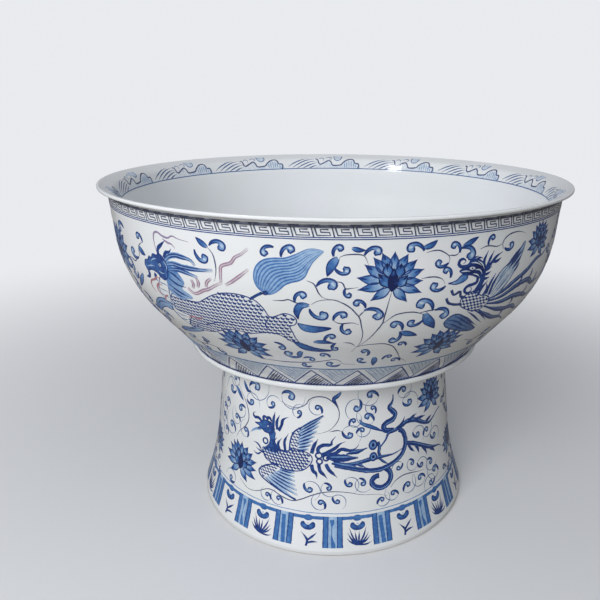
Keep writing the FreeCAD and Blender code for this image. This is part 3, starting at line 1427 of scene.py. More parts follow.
class FoldedRibbon(Drawing):
    """Band of a folded white ribbon with hatched triangles, above the bowl's foot."""

    count = 27
    tremor = 0.8
    step = 4.0
    top = 205.0
    top_width = 2.6
    top_grey = -0.8
    base = 245.0
    base_width = 1.6
    apex = (33.0, 209.0)
    fold = (40.0, 218.5)
    ribbon = 16.0
    edge_widths = (1.9, 2.1, 1.9)
    upper_left = (44.0, 208.0)
    upper_right = (5.0, 239.0)
    fine_grey = -0.6
    fine_line = 1.0
    hatch_step = 5.2
    bold_strokes = 4
    bold_width = 3.0
    fine_width = 1.9
    shade_foot = (3.0, 237.0)
    shade_inset = 2.0
    shade_pooled = 0.04
    high_step = 6.76
    high_top = 207.0
    high_inset = 3.0
    high_slope = 0.47
    high_lean = 0.86

    def draw(self, sheet: BrushSheet, pitch: float) -> None:
        """Draws one unit of the band.

        Args:
            sheet: Sheet to draw on.
            pitch: Length of one repeat, in millimetres.
        """
        self.shade_high(sheet, pitch)
        self.hatch_low(sheet, pitch)
        self.hatch_high(sheet, pitch)
        edges = [[(0.0, self.base), self.apex], [self.apex, (pitch, self.base)],
                 [(self.ribbon, self.base), self.fold]]
        for path, width in zip(edges, self.edge_widths):
            sheet.line(path, width, taper=Taper.EVEN)
        upper = [self.upper_left, (pitch + self.upper_right[0], self.upper_right[1])]
        sheet.line(upper, self.fine_line, Ink.MIDDLE, Taper.EVEN, rose=self.fine_grey)
        sheet.across(pitch, self.base, self.base_width, Ink.DEEP)
        sheet.across(pitch, self.top, self.top_width, Ink.STEM, self.top_grey)

    def hatch_low(self, sheet: BrushSheet, pitch: float) -> None:
        """Hatches the dark triangle under the fold.

        Args:
            sheet: Sheet to draw on.
            pitch: Length of one repeat, in millimetres.
        """
        lean = (self.fold[0] - self.ribbon) / (self.base - self.fold[1])
        fall = (pitch - self.fold[0]) / (self.base - self.fold[1])
        for step in range(1, int((pitch - self.ribbon) / self.hatch_step)):
            start = self.ribbon + step * self.hatch_step
            rise = (pitch - start) / (lean + fall)
            path = [(start, self.base), (start + lean * rise, self.base - rise)]
            if step <= self.bold_strokes:
                sheet.line(path, self.bold_width, Ink.DEEP, Taper.TAIL)
            else:
                sheet.line(path, self.fine_width, taper=Taper.TAIL)

    def shade_high(self, sheet: BrushSheet, pitch: float) -> None:
        """Lays a grey shade into the triangle between two folds.

        Args:
            sheet: Sheet to draw on.
            pitch: Length of one repeat, in millimetres.
        """
        corners = [(self.upper_left[0] + self.shade_inset, self.high_top),
                   (pitch + self.shade_foot[0], self.shade_foot[1]),
                   (pitch + self.apex[0] - self.shade_inset, self.high_top)]
        sides = [[start, ((start[0] + end[0]) / 2, (start[1] + end[1]) / 2), end]
                 for start, end in zip(corners, corners[1:] + corners[:1])]
        sheet.wash(sides, Ink.FAINT, rose=-1.0, pooled=self.shade_pooled)

    def hatch_high(self, sheet: BrushSheet, pitch: float) -> None:
        """Hatches the pale triangle between two folds.

        Args:
            sheet: Sheet to draw on.
            pitch: Length of one repeat, in millimetres.
        """
        left = self.upper_left[0]
        right = pitch + self.apex[0] - self.high_inset
        for step in range(1, int((right - left) / self.high_step)):
            start = left + step * self.high_step
            drop = (right - start) * self.high_slope
            path = [(start, self.high_top), (start + drop * self.high_lean, self.high_top + drop)]
            sheet.line(path, self.fine_line, Ink.STEM, rose=self.fine_grey)


class WaveBorder(Drawing):
    """Rolling waves inside the lip."""

    count = 13
    baseline = 31.0
    base_width = 1.4
    base_grey = -0.5
    top = [(-36, 14), (-32, 15), (-30, 22), (-26, 23.5), (-17, 19), (-12, 17), (-8, 20), (-6, 25), (0, 26),
           (10, 24.5), (13, 21), (20, 16), (27, 14), (32, 16), (35, 22), (40, 22), (42, 26), (40, 31)]
    body = Shape([*top[2:], (-20, 31), (-36, 30)], Ink.WHITE, Ink.FAINT, edge=0.0)
    arcs = Stroke([
        [(-86, 27), (-75, 21), (-60, 15), (-49, 13)], [(-78, 29), (-66, 22), (-52, 16.5), (-38, 14)],
        [(-71, 31), (-60, 25), (-46, 19.5), (-33, 18)], [(-61, 31), (-50, 26), (-40, 22.5), (-31, 21)],
        [(-49, 31), (-42, 28), (-33, 25)]], width=1.8, ink=Ink.MIDDLE, rose=-0.7)
    crest = Stroke([top], width=2.0, taper=Taper.EVEN, rose=-0.5)
    foam = Stroke([
        [(-30, 14), (-25, 11), (-21, 14), (-22, 18)],
        [(-17, 12), (-13, 9), (-8, 10), (-8, 14), (-12, 16)]], width=1.6, ink=Ink.STEM, rose=-0.5)
    drop = Stroke(
        [[(-3, 5), (-2, 14), (3, 17), (9, 14), (11, 6)]],
        width=1.6, ink=Ink.STEM, taper=Taper.EVEN, rose=-0.5)
    drop_inside = Shape([(-1, 6), (0, 13), (4, 15), (8, 12), (9, 6)], Ink.FAINT, edge=0.0)
    stripes = Stroke([[(u, v), (u + 0.5, 30.0)] for u, v in [
        (16, 22), (20, 19), (24, 17.5), (28, 17.5), (32, 20), (36, 25)]],
        width=1.4, ink=Ink.WASH, rose=-0.4)

    def draw(self, sheet: BrushSheet, pitch: float) -> None:
        """Draws the line under one wave."""
        sheet.across(pitch, self.baseline, self.base_width, Ink.MIDDLE, self.base_grey, start=-pitch / 2)


class Lappets(Drawing):
    """Upright panels round the pedestal's foot, alternately with a tuft and with a forked leaf."""

    count = 9
    tremor = 0.7
    top = 191.0
    base = 231.0
    bar = 6.6
    bar_edge = 0.42
    head = 4.4
    gap_bar = 5.0
    gap_top = 195.0
    gap_lean = 0.9
    panel = 48.0
    thin_line = 187.0
    thin_width = 0.9
    boss = (11.0, 8.0)
    boss_height = 193.6
    jewel = (3.0, 2.4)
    jewel_height = 201.0
    blades = [(-10, 206), (-12, 212), (-13, 219), (-8, 222), (-3.5, 211), (1.5, 211), (10, 206), (12, 214),
              (14, 218), (15.5, 226)]
    blade_root = (0.0, 228.0)
    blade_bulge = 1.15
    blade_sag = 1.5
    blade_width = 2.1
    fork = [[(-1, 230), (0, 222), (-7, 213)], [(0, 223), (4, 219), (11, 212)],
            [(0, 226), (6, 224), (12, 224)]]
    fork_width = 2.6
    ruyi = [(-8, 200), (-8.5, 205), (-4, 209), (0, 209.5), (4, 209), (8.5, 205), (8, 200), (5, 199),
            (3, 201.5), (0, 203.5), (-3, 201.5), (-5, 199)]
    ruyi_pooled = 0.2

    def draw(self, sheet: BrushSheet, pitch: float) -> None:
        """Draws two neighbouring panels.

        Args:
            sheet: Sheet to draw on.
            pitch: Length of one repeat, in millimetres.
        """
        sheet.across(pitch, self.thin_line, self.thin_width, Ink.STEM)
        for side, middle in enumerate((pitch / 4, pitch * 3 / 4)):
            self.frame(sheet, middle, pitch / 2)
            self.ornament(sheet, middle, side == 1)

    def frame(self, sheet: BrushSheet, middle: float, pitch: float) -> None:
        """Draws one panel's bars and the bar between it and the next.

        Args:
            sheet: Sheet to draw on.
            middle: Where the panel's middle lies.
            pitch: Distance to the next panel's middle.
        """
        half = self.panel / 2
        for side in (-1.0, 1.0):
            u = middle + side * (half - self.bar / 2)
            sheet.line([(u, self.top), (u, self.base)], self.bar, Ink.MIDDLE, Taper.EVEN, 0)
            for edge in (u - self.bar_edge * self.bar, u + self.bar_edge * self.bar):
                sheet.line([(edge, self.top), (edge, self.base)], self.thin_width, taper=Taper.EVEN)
        beam = self.top + self.head / 2
        sheet.line([(middle - half, beam), (middle, beam), (middle + half, beam)], self.head, Ink.MIDDLE,
                   Taper.EVEN, 0)
        between = middle + pitch / 2
        sheet.line([(between - self.gap_lean, self.gap_top), (between + self.gap_lean, self.base)],
                   self.gap_bar, Ink.MIDDLE, Taper.EVEN, 0)
        spare = (pitch - self.panel) / 2
        left, right = between - spare, between + spare
        sheet.wash([[(left, self.top), (right, self.top), (right, self.base), (left, self.base)]], Ink.PALE,
                   layer=-1, straight=True)
        sheet.blob((middle, self.boss_height), self.boss, Ink.MIDDLE)

    def ornament(self, sheet: BrushSheet, middle: float, forked: bool) -> None:
        """Draws what a panel frames.

        Args:
            sheet: Sheet to draw on.
            middle: Where the panel's middle lies.
            forked: True for a forked leaf, and else a tuft.
        """
        place = Placing((middle, 0.0))
        sheet.wash([place.of(self.ruyi)], Ink.MIDDLE, pooled=self.ruyi_pooled)
        sheet.blob((middle, self.jewel_height), self.jewel, Ink.FAINT, 1)
        if forked:
            for branch in self.fork:
                sheet.line(place.of(branch), self.fork_width, taper=Taper.TAIL)
            return
        root = self.blade_root
        for tip in self.blades:
            bend = ((tip[0] + root[0]) / 2 * self.blade_bulge, (tip[1] + root[1]) / 2 + self.blade_sag)
            sheet.line(place.of([root, bend, tip]), self.blade_width, taper=Taper.TAIL)


class Qilin(Drawing):
    """A scaled, hoofed beast that walks left and looks ahead, its mane and tail streaming."""

    second_leg = Shape([
        (-170, 146), (-178, 150), (-188, 155), (-200, 158), (-214, 162), (-219, 169), (-206, 169),
        (-192, 164), (-176, 158), (-164, 152)], Ink.PALE, Ink.MIDDLE)
    forward_leg = Shape([
        (-197, 119), (-208, 116), (-222, 118), (-235, 126), (-246, 138), (-240, 143), (-227, 134),
        (-214, 129), (-202, 130)], Ink.PALE, Ink.MIDDLE)
    body = Scaled([
        (-187, 104), (-170, 107), (-150, 107), (-140, 102), (-128, 95), (-115, 90), (-100, 88.5), (-88, 90),
        (-78, 94), (-71, 102), (-66, 112), (-60, 111), (-50, 106.5), (-42, 108.5), (-38, 114), (-40, 120),
        (-46, 123), (-44, 131), (-42, 140), (-39, 148), (-46, 147), (-53, 141), (-61, 136), (-72, 135),
        (-85, 138), (-95, 140), (-110, 138), (-125, 140), (-140, 147), (-160, 152), (-183, 150),
        (-178, 140), (-171, 131), (-182, 129), (-192, 125), (-195, 115)],
        pitch=(5.2, 4.4), reach=2.2, width=2.9, edge=1.2)
    creases = Stroke([
        [(-67, 113), (-71, 120), (-72, 128), (-66, 134)],
        [(-168, 142), (-150, 138), (-132, 131), (-112, 130), (-92, 132)],
        [(-205, 117), (-201, 128), (-196, 139), (-185, 149)],
        [(-204, 122), (-218, 122), (-231, 128), (-241, 138)], [(-176, 152), (-190, 158), (-206, 163)],
        [(-183, 148), (-178, 140), (-171, 132), (-165, 122)]], width=1.5)
    chest_plates = Stroke([
        [(-199, 124), (-192, 127), (-184, 129)], [(-197, 132), (-188, 134), (-179, 134)],
        [(-193, 140), (-187, 141), (-181, 140)]], width=1.2, ink=Ink.MIDDLE, rose=-0.5)
    hoof = Shape([
        (-46, 146), (-38, 148), (-20, 157), (-2, 161), (-18, 164), (-36, 160)], Ink.MIDDLE, Ink.DARK)
    knee_tuft = Shape([(-37, 118), (-22, 121), (-3, 123.5), (-20, 130), (-33, 127)], Ink.WASH, Ink.DARK)
    forward_toe = Spots((-246, 138), [((9.0, 6.5), Ink.DARK)])
    second_toe = Spots((-219, 169), [((9.0, 6.5), Ink.DARK)])
    tail = BushyTail([
        (-68, 84), (-74, 79), (-77, 70), (-75, 59), (-68, 51), (-58, 48), (-46, 47), (-36, 43), (-25, 37.5),
        (-17, 37), (-10, 39)],
        [(-67, 85), (-63, 85.5), (-57, 83), (-52, 79), (-47, 74), (-41, 71), (-34, 69), (-28, 65),
        (-24, 57), (-19, 49), (-10, 40)])
    tail_stem = Stroke([[(-84, 93), (-77, 88), (-70, 84)]], width=3.0, taper=Taper.EVEN)
    tail_knot = Spots((-67, 84), [((6.0, 5.0), Ink.DEEP)])
    mane = Shape([
        (-187, 72), (-176, 70), (-166, 77), (-161, 86), (-166, 94), (-156, 100), (-155, 104), (-165, 106),
        (-170, 108), (-180, 106), (-187, 103), (-189, 95), (-188, 82)], Ink.MIDDLE, Ink.PALE,
        layer=2, edge=0.0)
    mane_strokes = Stroke([
        [(-182, 76), (-172, 80), (-162, 87)], [(-184, 84), (-172, 90), (-160, 91)],
        [(-186, 92), (-172, 99), (-156, 103)], [(-184, 98), (-176, 103), (-166, 105)]], width=2.4, layer=3)
    throat = Shape([
        (-199, 86), (-204, 93), (-208, 101), (-209, 109), (-205, 117), (-192, 120), (-193, 112),
        (-191, 104), (-189, 95), (-188, 87)], Ink.WHITE, layer=1)
    throat_plates = Stroke([
        [high, low] for high, low in zip(throat.outline[:5], throat.outline[:4:-1])],
        width=1.1, ink=Ink.MIDDLE, layer=2, rose=-0.5)
    ribbons = Banner([
        [(-185, 66), (-178, 60), (-168, 57), (-158, 57.5), (-147, 59), (-142, 64)],
        [(-186, 70), (-173, 67), (-160, 68), (-140, 68), (-121, 66)],
        [(-180, 74), (-165, 72), (-152, 74), (-141, 76.5)]],
        width=6.4, ink=Ink.WASH, taper=Taper.TAIL, asides=(1.6, -1.2), edge=1.7)
    head = Shape([
        (-224, 77), (-221, 71), (-216, 70.5), (-212, 65.5), (-208, 66.5), (-204, 61.5), (-198, 62),
        (-192, 59.5), (-185, 65), (-182, 73), (-184, 82), (-190, 88), (-196, 87), (-203, 81.5),
        (-213, 80.5), (-220, 83)], Ink.MIDDLE, Ink.DARK, layer=2, edge=1.5)
    tufts = Stroke([
        [(-194, 61), (-193, 54), (-187, 49), (-179, 43)], [(-185, 62), (-181, 56), (-176, 55), (-172, 51)],
        [(-219, 84), (-221, 90), (-229, 92)], [(-206, 84), (-209, 89), (-206, 93)]],
        width=4.0, taper=Taper.TAIL, layer=2)
    antler = Stroke([
        [(-196, 58), (-198, 46), (-196, 38), (-190, 36), (-183, 39), (-175, 40), (-168, 37), (-160, 39),
         (-146, 40.5)], [(-183, 42), (-176, 45), (-170, 46), (-166, 50)]],
        width=2.2, ink=Ink.STEM, rose=0.45)
    eye = Spots(
        (-194, 72), [((5.4, 5.4), Ink.DARK), ((3.8, 3.8), Ink.FAINT), ((1.7, 1.7), Ink.DEEP)], layer=3)
    face = Stroke([
        [(-200, 67), (-195, 67), (-190, 69)], [(-222, 79.5), (-212, 79), (-204, 77)],
        [(-218, 75), (-215, 73), (-213, 75)], [(-186, 72), (-190, 78), (-189, 83)]], width=1.3, layer=3)
    highlights = Stroke([
        [(-219, 78), (-211, 75.5), (-203, 75)], [(-209, 70), (-204, 67), (-198, 66)],
        [(-198, 79), (-193, 81), (-188, 80)], [(-187, 66), (-183, 71), (-184, 77)]],
        width=1.2, ink=Ink.PALE, layer=4)
    chest_flames = Stroke([
        [(-200, 90), (-206, 88), (-212, 92), (-220, 95), (-224, 102), (-220, 110)],
        [(-200, 97), (-206, 96), (-211, 100), (-213, 106), (-208, 112)],
        [(-196, 108), (-203, 112), (-206, 119)], [(-152, 128), (-160, 132), (-170, 131), (-178, 136)]],
        width=2.6, ink=Ink.MIDDLE, layer=3, rose=0.8)
    back_flames = Banner([
        [(-157, 91), (-151, 96), (-145, 95), (-136, 90), (-130, 88), (-120, 82), (-112, 78)],
        [(-113, 78), (-112, 66), (-110, 60), (-100, 56), (-95, 50), (-88, 46), (-81, 40)],
        [(-108, 80), (-100, 75), (-92, 69), (-82, 61)], [(-150, 90), (-148, 85), (-150, 80)],
        [(-143, 88), (-141, 82), (-143, 77)], [(-132, 86), (-130, 80), (-124, 75)]],
        width=3.4, ink=Ink.FAINT,
        taper=Taper.BRUSH, asides=(1.2, -1.2), edge=1.5, edge_ink=Ink.STEM, rose=0.25, edge_rose=0.62)


PLUME_EYE_TALL = 1.2
PLUME_EYE_COATS = ((1.0, Ink.DARK), (0.62, Ink.WASH), (0.36, Ink.DEEP))


def plume_eye(at: Point, width: float) -> Spots:
    """Returns the eye of a plume: a tall dark oval with a paler and a deeper one in it."""
    sizes = [(width * share, width * PLUME_EYE_TALL * share) for share, _ in PLUME_EYE_COATS]
    return Spots(at, [(size, ink) for size, (_, ink) in zip(sizes, PLUME_EYE_COATS)])


class Phoenix(Drawing):
    """A crested bird in flight that faces left, wings spread, with long tail plumes."""

    plumes = Plumes([
        ([(-9, 113), (2, 113), (14, 113), (31, 114)], 10.5, Taper.BRUSH),
        ([(16, 108), (24, 106), (32, 105), (43, 102)], 6.0, Taper.BRUSH),
        ([(-2, 120), (12, 123), (24, 126), (36, 131)], 8.0, Taper.BRUSH),
        ([(24, 120), (32, 123), (41, 129)], 4.0, Taper.BRUSH),
        ([(57, 96), (59, 104), (58, 111), (61, 118)], 4.4, Taper.EVEN),
        ([(58, 118), (64, 124), (72, 130)], 3.4, Taper.TAIL),
        ([(0, 119), (15, 122), (30, 121), (45, 118), (62, 117), (80, 117), (94, 113)], 5.6, Taper.TAIL),
        ([(88, 86), (94, 91), (97.5, 101), (97, 110), (93, 119), (85, 126), (73, 131), (58, 134), (40, 132),
          (22, 127), (2, 122)], 6.6, Taper.EVEN),
        ([(66, 133), (72, 139), (74, 147), (70, 155), (61, 159), (52, 156), (48, 149), (52, 143),
          (58, 142)], 7.0, Taper.EVEN),
        ([(80, 37), (79, 46), (74, 53), (79, 59), (83, 64), (79, 70), (69, 73), (65, 78), (69, 83),
          (80, 85)], 7.2, Taper.HEAD),
        ([(61, 103), (68, 95), (72, 88), (80, 86), (90, 83), (100, 79), (108, 79), (118, 82), (128, 88),
          (138, 93), (146, 95), (156, 92), (166, 88), (178, 86)], 6.4, Taper.BRUSH),
        ([(98, 108), (108, 111), (120, 117), (132, 124), (145, 131), (158, 136), (168, 139), (177, 145)],
         6.0, Taper.TAIL)])
    barbs = Stroke([
        [(84, 84), (93, 79), (98, 71)], [(104, 79), (110, 76), (119, 73)],
        [(115, 81), (125, 81), (137, 82)], [(138, 91), (145, 89), (152, 87)],
        [(103, 112), (107, 119), (113, 125)], [(115, 117), (119, 123), (121, 130)],
        [(128, 124), (134, 131), (137, 139)], [(145, 133), (152, 138), (157, 144)]],
        width=4.0, taper=Taper.TAIL)
    tongues = Stroke([
        [(-27, 108), (-24, 97), (-19, 88)],
        [(-18, 108), (-19, 101), (-13, 96), (-3, 95), (-2, 90), (3, 84)],
        [(-14, 109), (-5, 104), (3, 99), (8, 94), (15, 91)],
        [(-8, 110), (3, 106), (10, 101), (20, 103), (28, 101), (32, 96)],
        [(-27, 123), (-25, 131), (-21, 135), (-20, 142)], [(-18, 122), (-16, 131), (-11, 136), (-7, 141)],
        [(-9, 121), (-5, 129), (0, 134), (5, 139)]], width=4.6, taper=Taper.TAIL, layer=2)
    high_wing = Wing([
        (-55, 108), (-55, 96), (-52, 85), (-46, 78), (-38, 75), (-40, 86), (-43, 98), (-45, 107)],
        [(-56, 108), (-55, 95), (-52, 85), (-47, 79), (-38, 73), (-28, 66), (-13, 57)],
        [(-44, 79), (-46, 105)],
        [(-13, 57), (-17, 64), (-19, 70), (-21, 77), (-24, 84), (-26, 90), (-28, 96), (-31, 102)])
    low_wing = Wing([
        (-72, 131), (-82, 134), (-94, 140), (-98, 147), (-93, 153), (-84, 152), (-76, 145), (-68, 136)],
        [(-72, 131), (-82, 134), (-93, 140), (-99, 147), (-95, 154), (-84, 159), (-65, 166), (-45, 173)],
        [(-88, 153), (-68, 136)],
        [(-45, 173), (-43, 166), (-44, 160), (-46, 154), (-47, 148), (-48, 142), (-48, 137)])
    body = Scaled([
        (-95, 114), (-80, 110), (-60, 110), (-50, 105), (-32, 108), (-26, 115), (-30, 125), (-40, 133),
        (-60, 136), (-75, 132), (-90, 127)], pitch=(4.8, 3.9), reach=2.3, width=2.9, edge=1.4)
    neck = Shape([
        (-87, 91), (-77, 88), (-77, 100), (-71, 113), (-90, 114), (-85, 106), (-84, 98)], Ink.MIDDLE,
        Ink.DARK, layer=1)
    neck_flames = Stroke([
        [(-68, 113), (-72, 103), (-67, 94)], [(-61, 112), (-63, 98), (-58, 86)],
        [(-76, 112), (-79, 103), (-74, 95)]], width=3.6, taper=Taper.TAIL, layer=2)
    feet = Stroke([
        [(-96, 119), (-103, 112), (-111, 111)], [(-96, 121), (-103, 126), (-110, 124)],
        [(-90, 122), (-99, 120), (-106, 118)]], width=2.4)
    knots = Stroke([
        Placing(at, radius).of([*circle(8), (1.0, 0.0)])
        for at, radius in [((-18, 110), 4.0), ((-17, 118), 3.6), ((-9, 113), 3.6), ((-91, 104), 3.8)]],
        width=2.2, taper=Taper.EVEN)
    upper_plume_eye = plume_eye((50.5, 99), 12.0)
    lower_plume_eye = plume_eye((50.5, 115), 10.5)
    head = Shape([
        (-110, 84), (-102, 82), (-96, 77), (-88, 76), (-81, 79), (-78, 86), (-82, 91), (-92, 92), (-98, 89),
        (-105, 91), (-101, 86.5)], Ink.MIDDLE, Ink.DARK, layer=2, edge=1.3)
    comb = Stroke([
        [(-99, 79), (-104, 76), (-111, 77), (-114, 73), (-110, 70)],
        [(-95, 77), (-96, 72), (-91, 72), (-90, 76)], [(-90, 75), (-88, 71), (-84, 73), (-83, 78)]],
        width=3.8, taper=Taper.TAIL, layer=3)
    crest = Stroke([
        [(-80, 82), (-80, 72), (-78, 61)], [(-74, 84), (-75, 74), (-71, 64)],
        [(-72, 85), (-68, 77), (-66, 69), (-58, 64)]], width=4.0, taper=Taper.TAIL, layer=2)
    beard = Stroke(
        [[(-99, 90), (-107, 92), (-113, 96), (-118, 101)]], width=3.4, ink=Ink.WASH, taper=Taper.TAIL)
    eye = Spots((-88, 83), [((4.4, 3.6), Ink.DARK), ((2.4, 2.0), Ink.FAINT)], layer=3)


class CrestedBird(Drawing):
    """The bowl's bird: hooked comb, curled neck, tall crest, wings spread, tail streaming right."""

    plumes = Plumes([
        ([(172, 105), (192, 100), (212, 90), (232, 82), (250, 72), (268, 70), (286, 62)], 7.0, Taper.BRUSH),
        ([(174, 108), (196, 106), (220, 98), (244, 96), (262, 104), (284, 102), (300, 94)], 7.5,
         Taper.BRUSH),
        ([(174, 111), (198, 114), (222, 112), (246, 116), (268, 122), (292, 118)], 7.5, Taper.BRUSH),
        ([(172, 114), (192, 122), (214, 128), (236, 130), (258, 140), (282, 142)], 7.0, Taper.BRUSH),
        ([(164, 117), (182, 128), (200, 137), (220, 142), (238, 152)], 6.0, Taper.BRUSH)])
    barbs = Stroke([
        [(222, 98), (226, 90), (223, 84)], [(244, 96), (249, 89), (246, 82)],
        [(222, 112), (226, 120), (223, 126)], [(262, 104), (268, 98), (267, 91)],
        [(214, 128), (217, 135), (214, 141)], [(246, 116), (252, 110), (250, 104)]],
        width=3.2, taper=Taper.TAIL)
    high_wing = Shape([
        (170, 104), (172, 92), (176, 81), (182, 72), (190, 67), (198, 61), (206, 55), (215, 46), (214, 56),
        (210, 66), (205, 76), (199, 87), (190, 98), (180, 106)], Ink.WHITE, Ink.PALE, edge=0.9, rose=-0.5)
    high_strokes = Stroke([
        [(173, 99), (179, 88), (188, 78)], [(175, 101), (183, 90), (193, 79)],
        [(178, 102), (187, 92), (198, 81)], [(180, 104), (191, 95), (200, 86)],
        [(176, 92), (183, 81), (193, 72)], [(182, 96), (192, 84), (203, 74)],
        [(178, 84), (186, 74), (196, 66)]], width=1.3, ink=Ink.STEM, rose=-0.6)
    first_tip = Stroke([[(189, 69), (199, 61), (212, 49)]], width=5.0, rose=-0.2)
    second_tip = Stroke([[(193, 72), (203, 63), (214, 54)]], width=4.4, rose=-0.2)
    third_tip = Stroke([[(199, 74), (206, 68), (212, 61)]], width=3.6, rose=-0.2)
    fourth_tip = Stroke([[(203, 79), (207, 74), (211, 69)]], width=3.0, rose=-0.2)
    low_wing = Shape([
        (121, 127), (124, 121), (131, 117), (140, 119), (150, 126), (160, 134), (170, 142), (178, 149),
        (170, 151), (157, 148), (144, 143), (133, 138), (125, 133)], Ink.STEM, Ink.MIDDLE, edge=1.4,
        rose=-0.4)
    low_strokes = Stroke([
        [(126, 124), (138, 128), (150, 136), (163, 143)], [(124, 128), (136, 133), (149, 141), (166, 149)],
        [(133, 120), (144, 126), (157, 135), (172, 144)], [(140, 119), (152, 126), (164, 135), (178, 144)],
        [(148, 116), (160, 124), (172, 133), (184, 141)], [(156, 116), (168, 122), (180, 131), (190, 139)]],
        width=2.2)
    body = Scaled([
        (133, 97), (140, 92), (149, 91), (158, 97), (167, 99), (174, 104), (172, 112), (163, 117),
        (153, 116), (144, 112), (137, 108), (133, 103)], pitch=(4.6, 3.9), reach=2.1, width=2.5, edge=1.3)
    feet = Stroke([
        [(137, 96), (131, 94), (129, 88), (122, 91), (118, 85)],
        [(135, 104), (126, 103), (118, 100), (114, 94)]], width=3.0, taper=Taper.EVEN, rose=-0.3)
    neck = Stroke([[(152, 70), (155, 77), (153, 85), (148, 93)]], width=6.4, taper=Taper.EVEN, layer=2)
    neck_curl = Stroke([
        [(148, 74), (148, 80), (143, 82), (137, 83), (134, 87), (137, 91), (142, 90), (143, 86),
         (140, 85)]], width=3.6, taper=Taper.TAIL, layer=2)
    neck_flames = Stroke([
        [(154, 97), (157, 88), (163, 81)], [(162, 98), (165, 90), (162, 84)],
        [(166, 97), (168, 85), (173, 74)], [(171, 99), (173, 86), (179, 74)]],
        width=3.4, taper=Taper.TAIL, layer=2)
    crest = Stroke([
        [(155, 67), (153, 58), (157, 48)], [(158, 67), (160, 59), (165, 49)],
        [(160, 66), (166, 59), (171, 55), (178, 52)], [(165, 60), (171, 61), (177, 58)]],
        width=3.4, taper=Taper.TAIL, layer=2)
    wattle = Shape([
        (113, 77), (122, 75), (127, 70), (132, 69), (135, 73), (131, 77), (122, 79)], Ink.PALE, Ink.MIDDLE,
        layer=1, edge=1.2)
    head = Shape([
        (124, 65), (132, 61), (138, 57), (144, 55), (151, 59), (156, 64), (157, 71), (152, 76), (146, 74),
        (139, 71), (132, 70), (126, 67)], Ink.DARK, Ink.DEEP, layer=2, edge=1.4)
    hair = Stroke([
        [(134, 60), (139, 54), (145, 52)], [(139, 60), (146, 54), (151, 55)],
        [(154, 69), (160, 68), (165, 65)], [(155, 73), (160, 73), (165, 71)],
        [(154, 77), (159, 78), (164, 77)]], width=3.0, taper=Taper.TAIL, layer=3)
    gaps = Stroke([
        [(137, 58), (144, 59), (151, 63)], [(126, 66), (132, 66), (137, 67)],
        [(143, 66), (149, 67), (153, 72)], [(141, 70), (147, 72), (150, 75)],
        [(145, 57), (151, 61), (155, 67)]], width=1.3, ink=Ink.FAINT, layer=4)
    comb = Stroke([
        [(133, 61), (126, 61), (122, 58), (123, 54), (127, 53), (130, 56), (127, 58)]],
        width=3.6, taper=Taper.TAIL, layer=3)
    eye = Spots((139, 64), [((7.4, 3.2), Ink.WHITE)], layer=4, turn=8.0)
    pupil = Spots((139, 64), [((2.2, 1.9), Ink.DEEP)], layer=5)


class Scroll(Drawing):
    """Vines, scroll leaves and lotuses of half a ware's painted field."""

    vines: list[Path]
    left_curls: list[tuple[Point, Point]]
    right_curls: list[tuple[Point, Point]]
    leaves: list[tuple[Path, float]]
    lotuses: list[Placing]
    stems: list[Path]
    side_stems: list[Path]
    side_middle: float
    side_leaf: float
    sweep = 0.0

    def draw(self, sheet: BrushSheet, pitch: float) -> None:
        """Draws the scrolling ground without its lotuses.

        Args:
            sheet: Sheet to draw on.
            pitch: Length of one repeat, in millimetres; not used.
        """
        for vine in self.vines:
            sheet.vine(vine)
        sheet.curls(self.left_curls, True, self.sweep)
        sheet.curls(self.right_curls, False, self.sweep)
        for path, width in self.leaves:
            sheet.leaf(path, width)
        for path in self.stems:
            sheet.branch(path, self.side_leaf)
        for path in self.side_stems:
            sheet.branch(path, self.side_leaf)
            sheet.branch([(2 * self.side_middle - u, v) for u, v in path], self.side_leaf)


@dataclass
class Flowers(Drawing):
    """The lotuses of a scroll."""

    scroll: Scroll

    def draw(self, sheet: BrushSheet, pitch: float) -> None:
        """Draws the lotuses."""
        for place in self.scroll.lotuses:
            sheet.lotus(place)


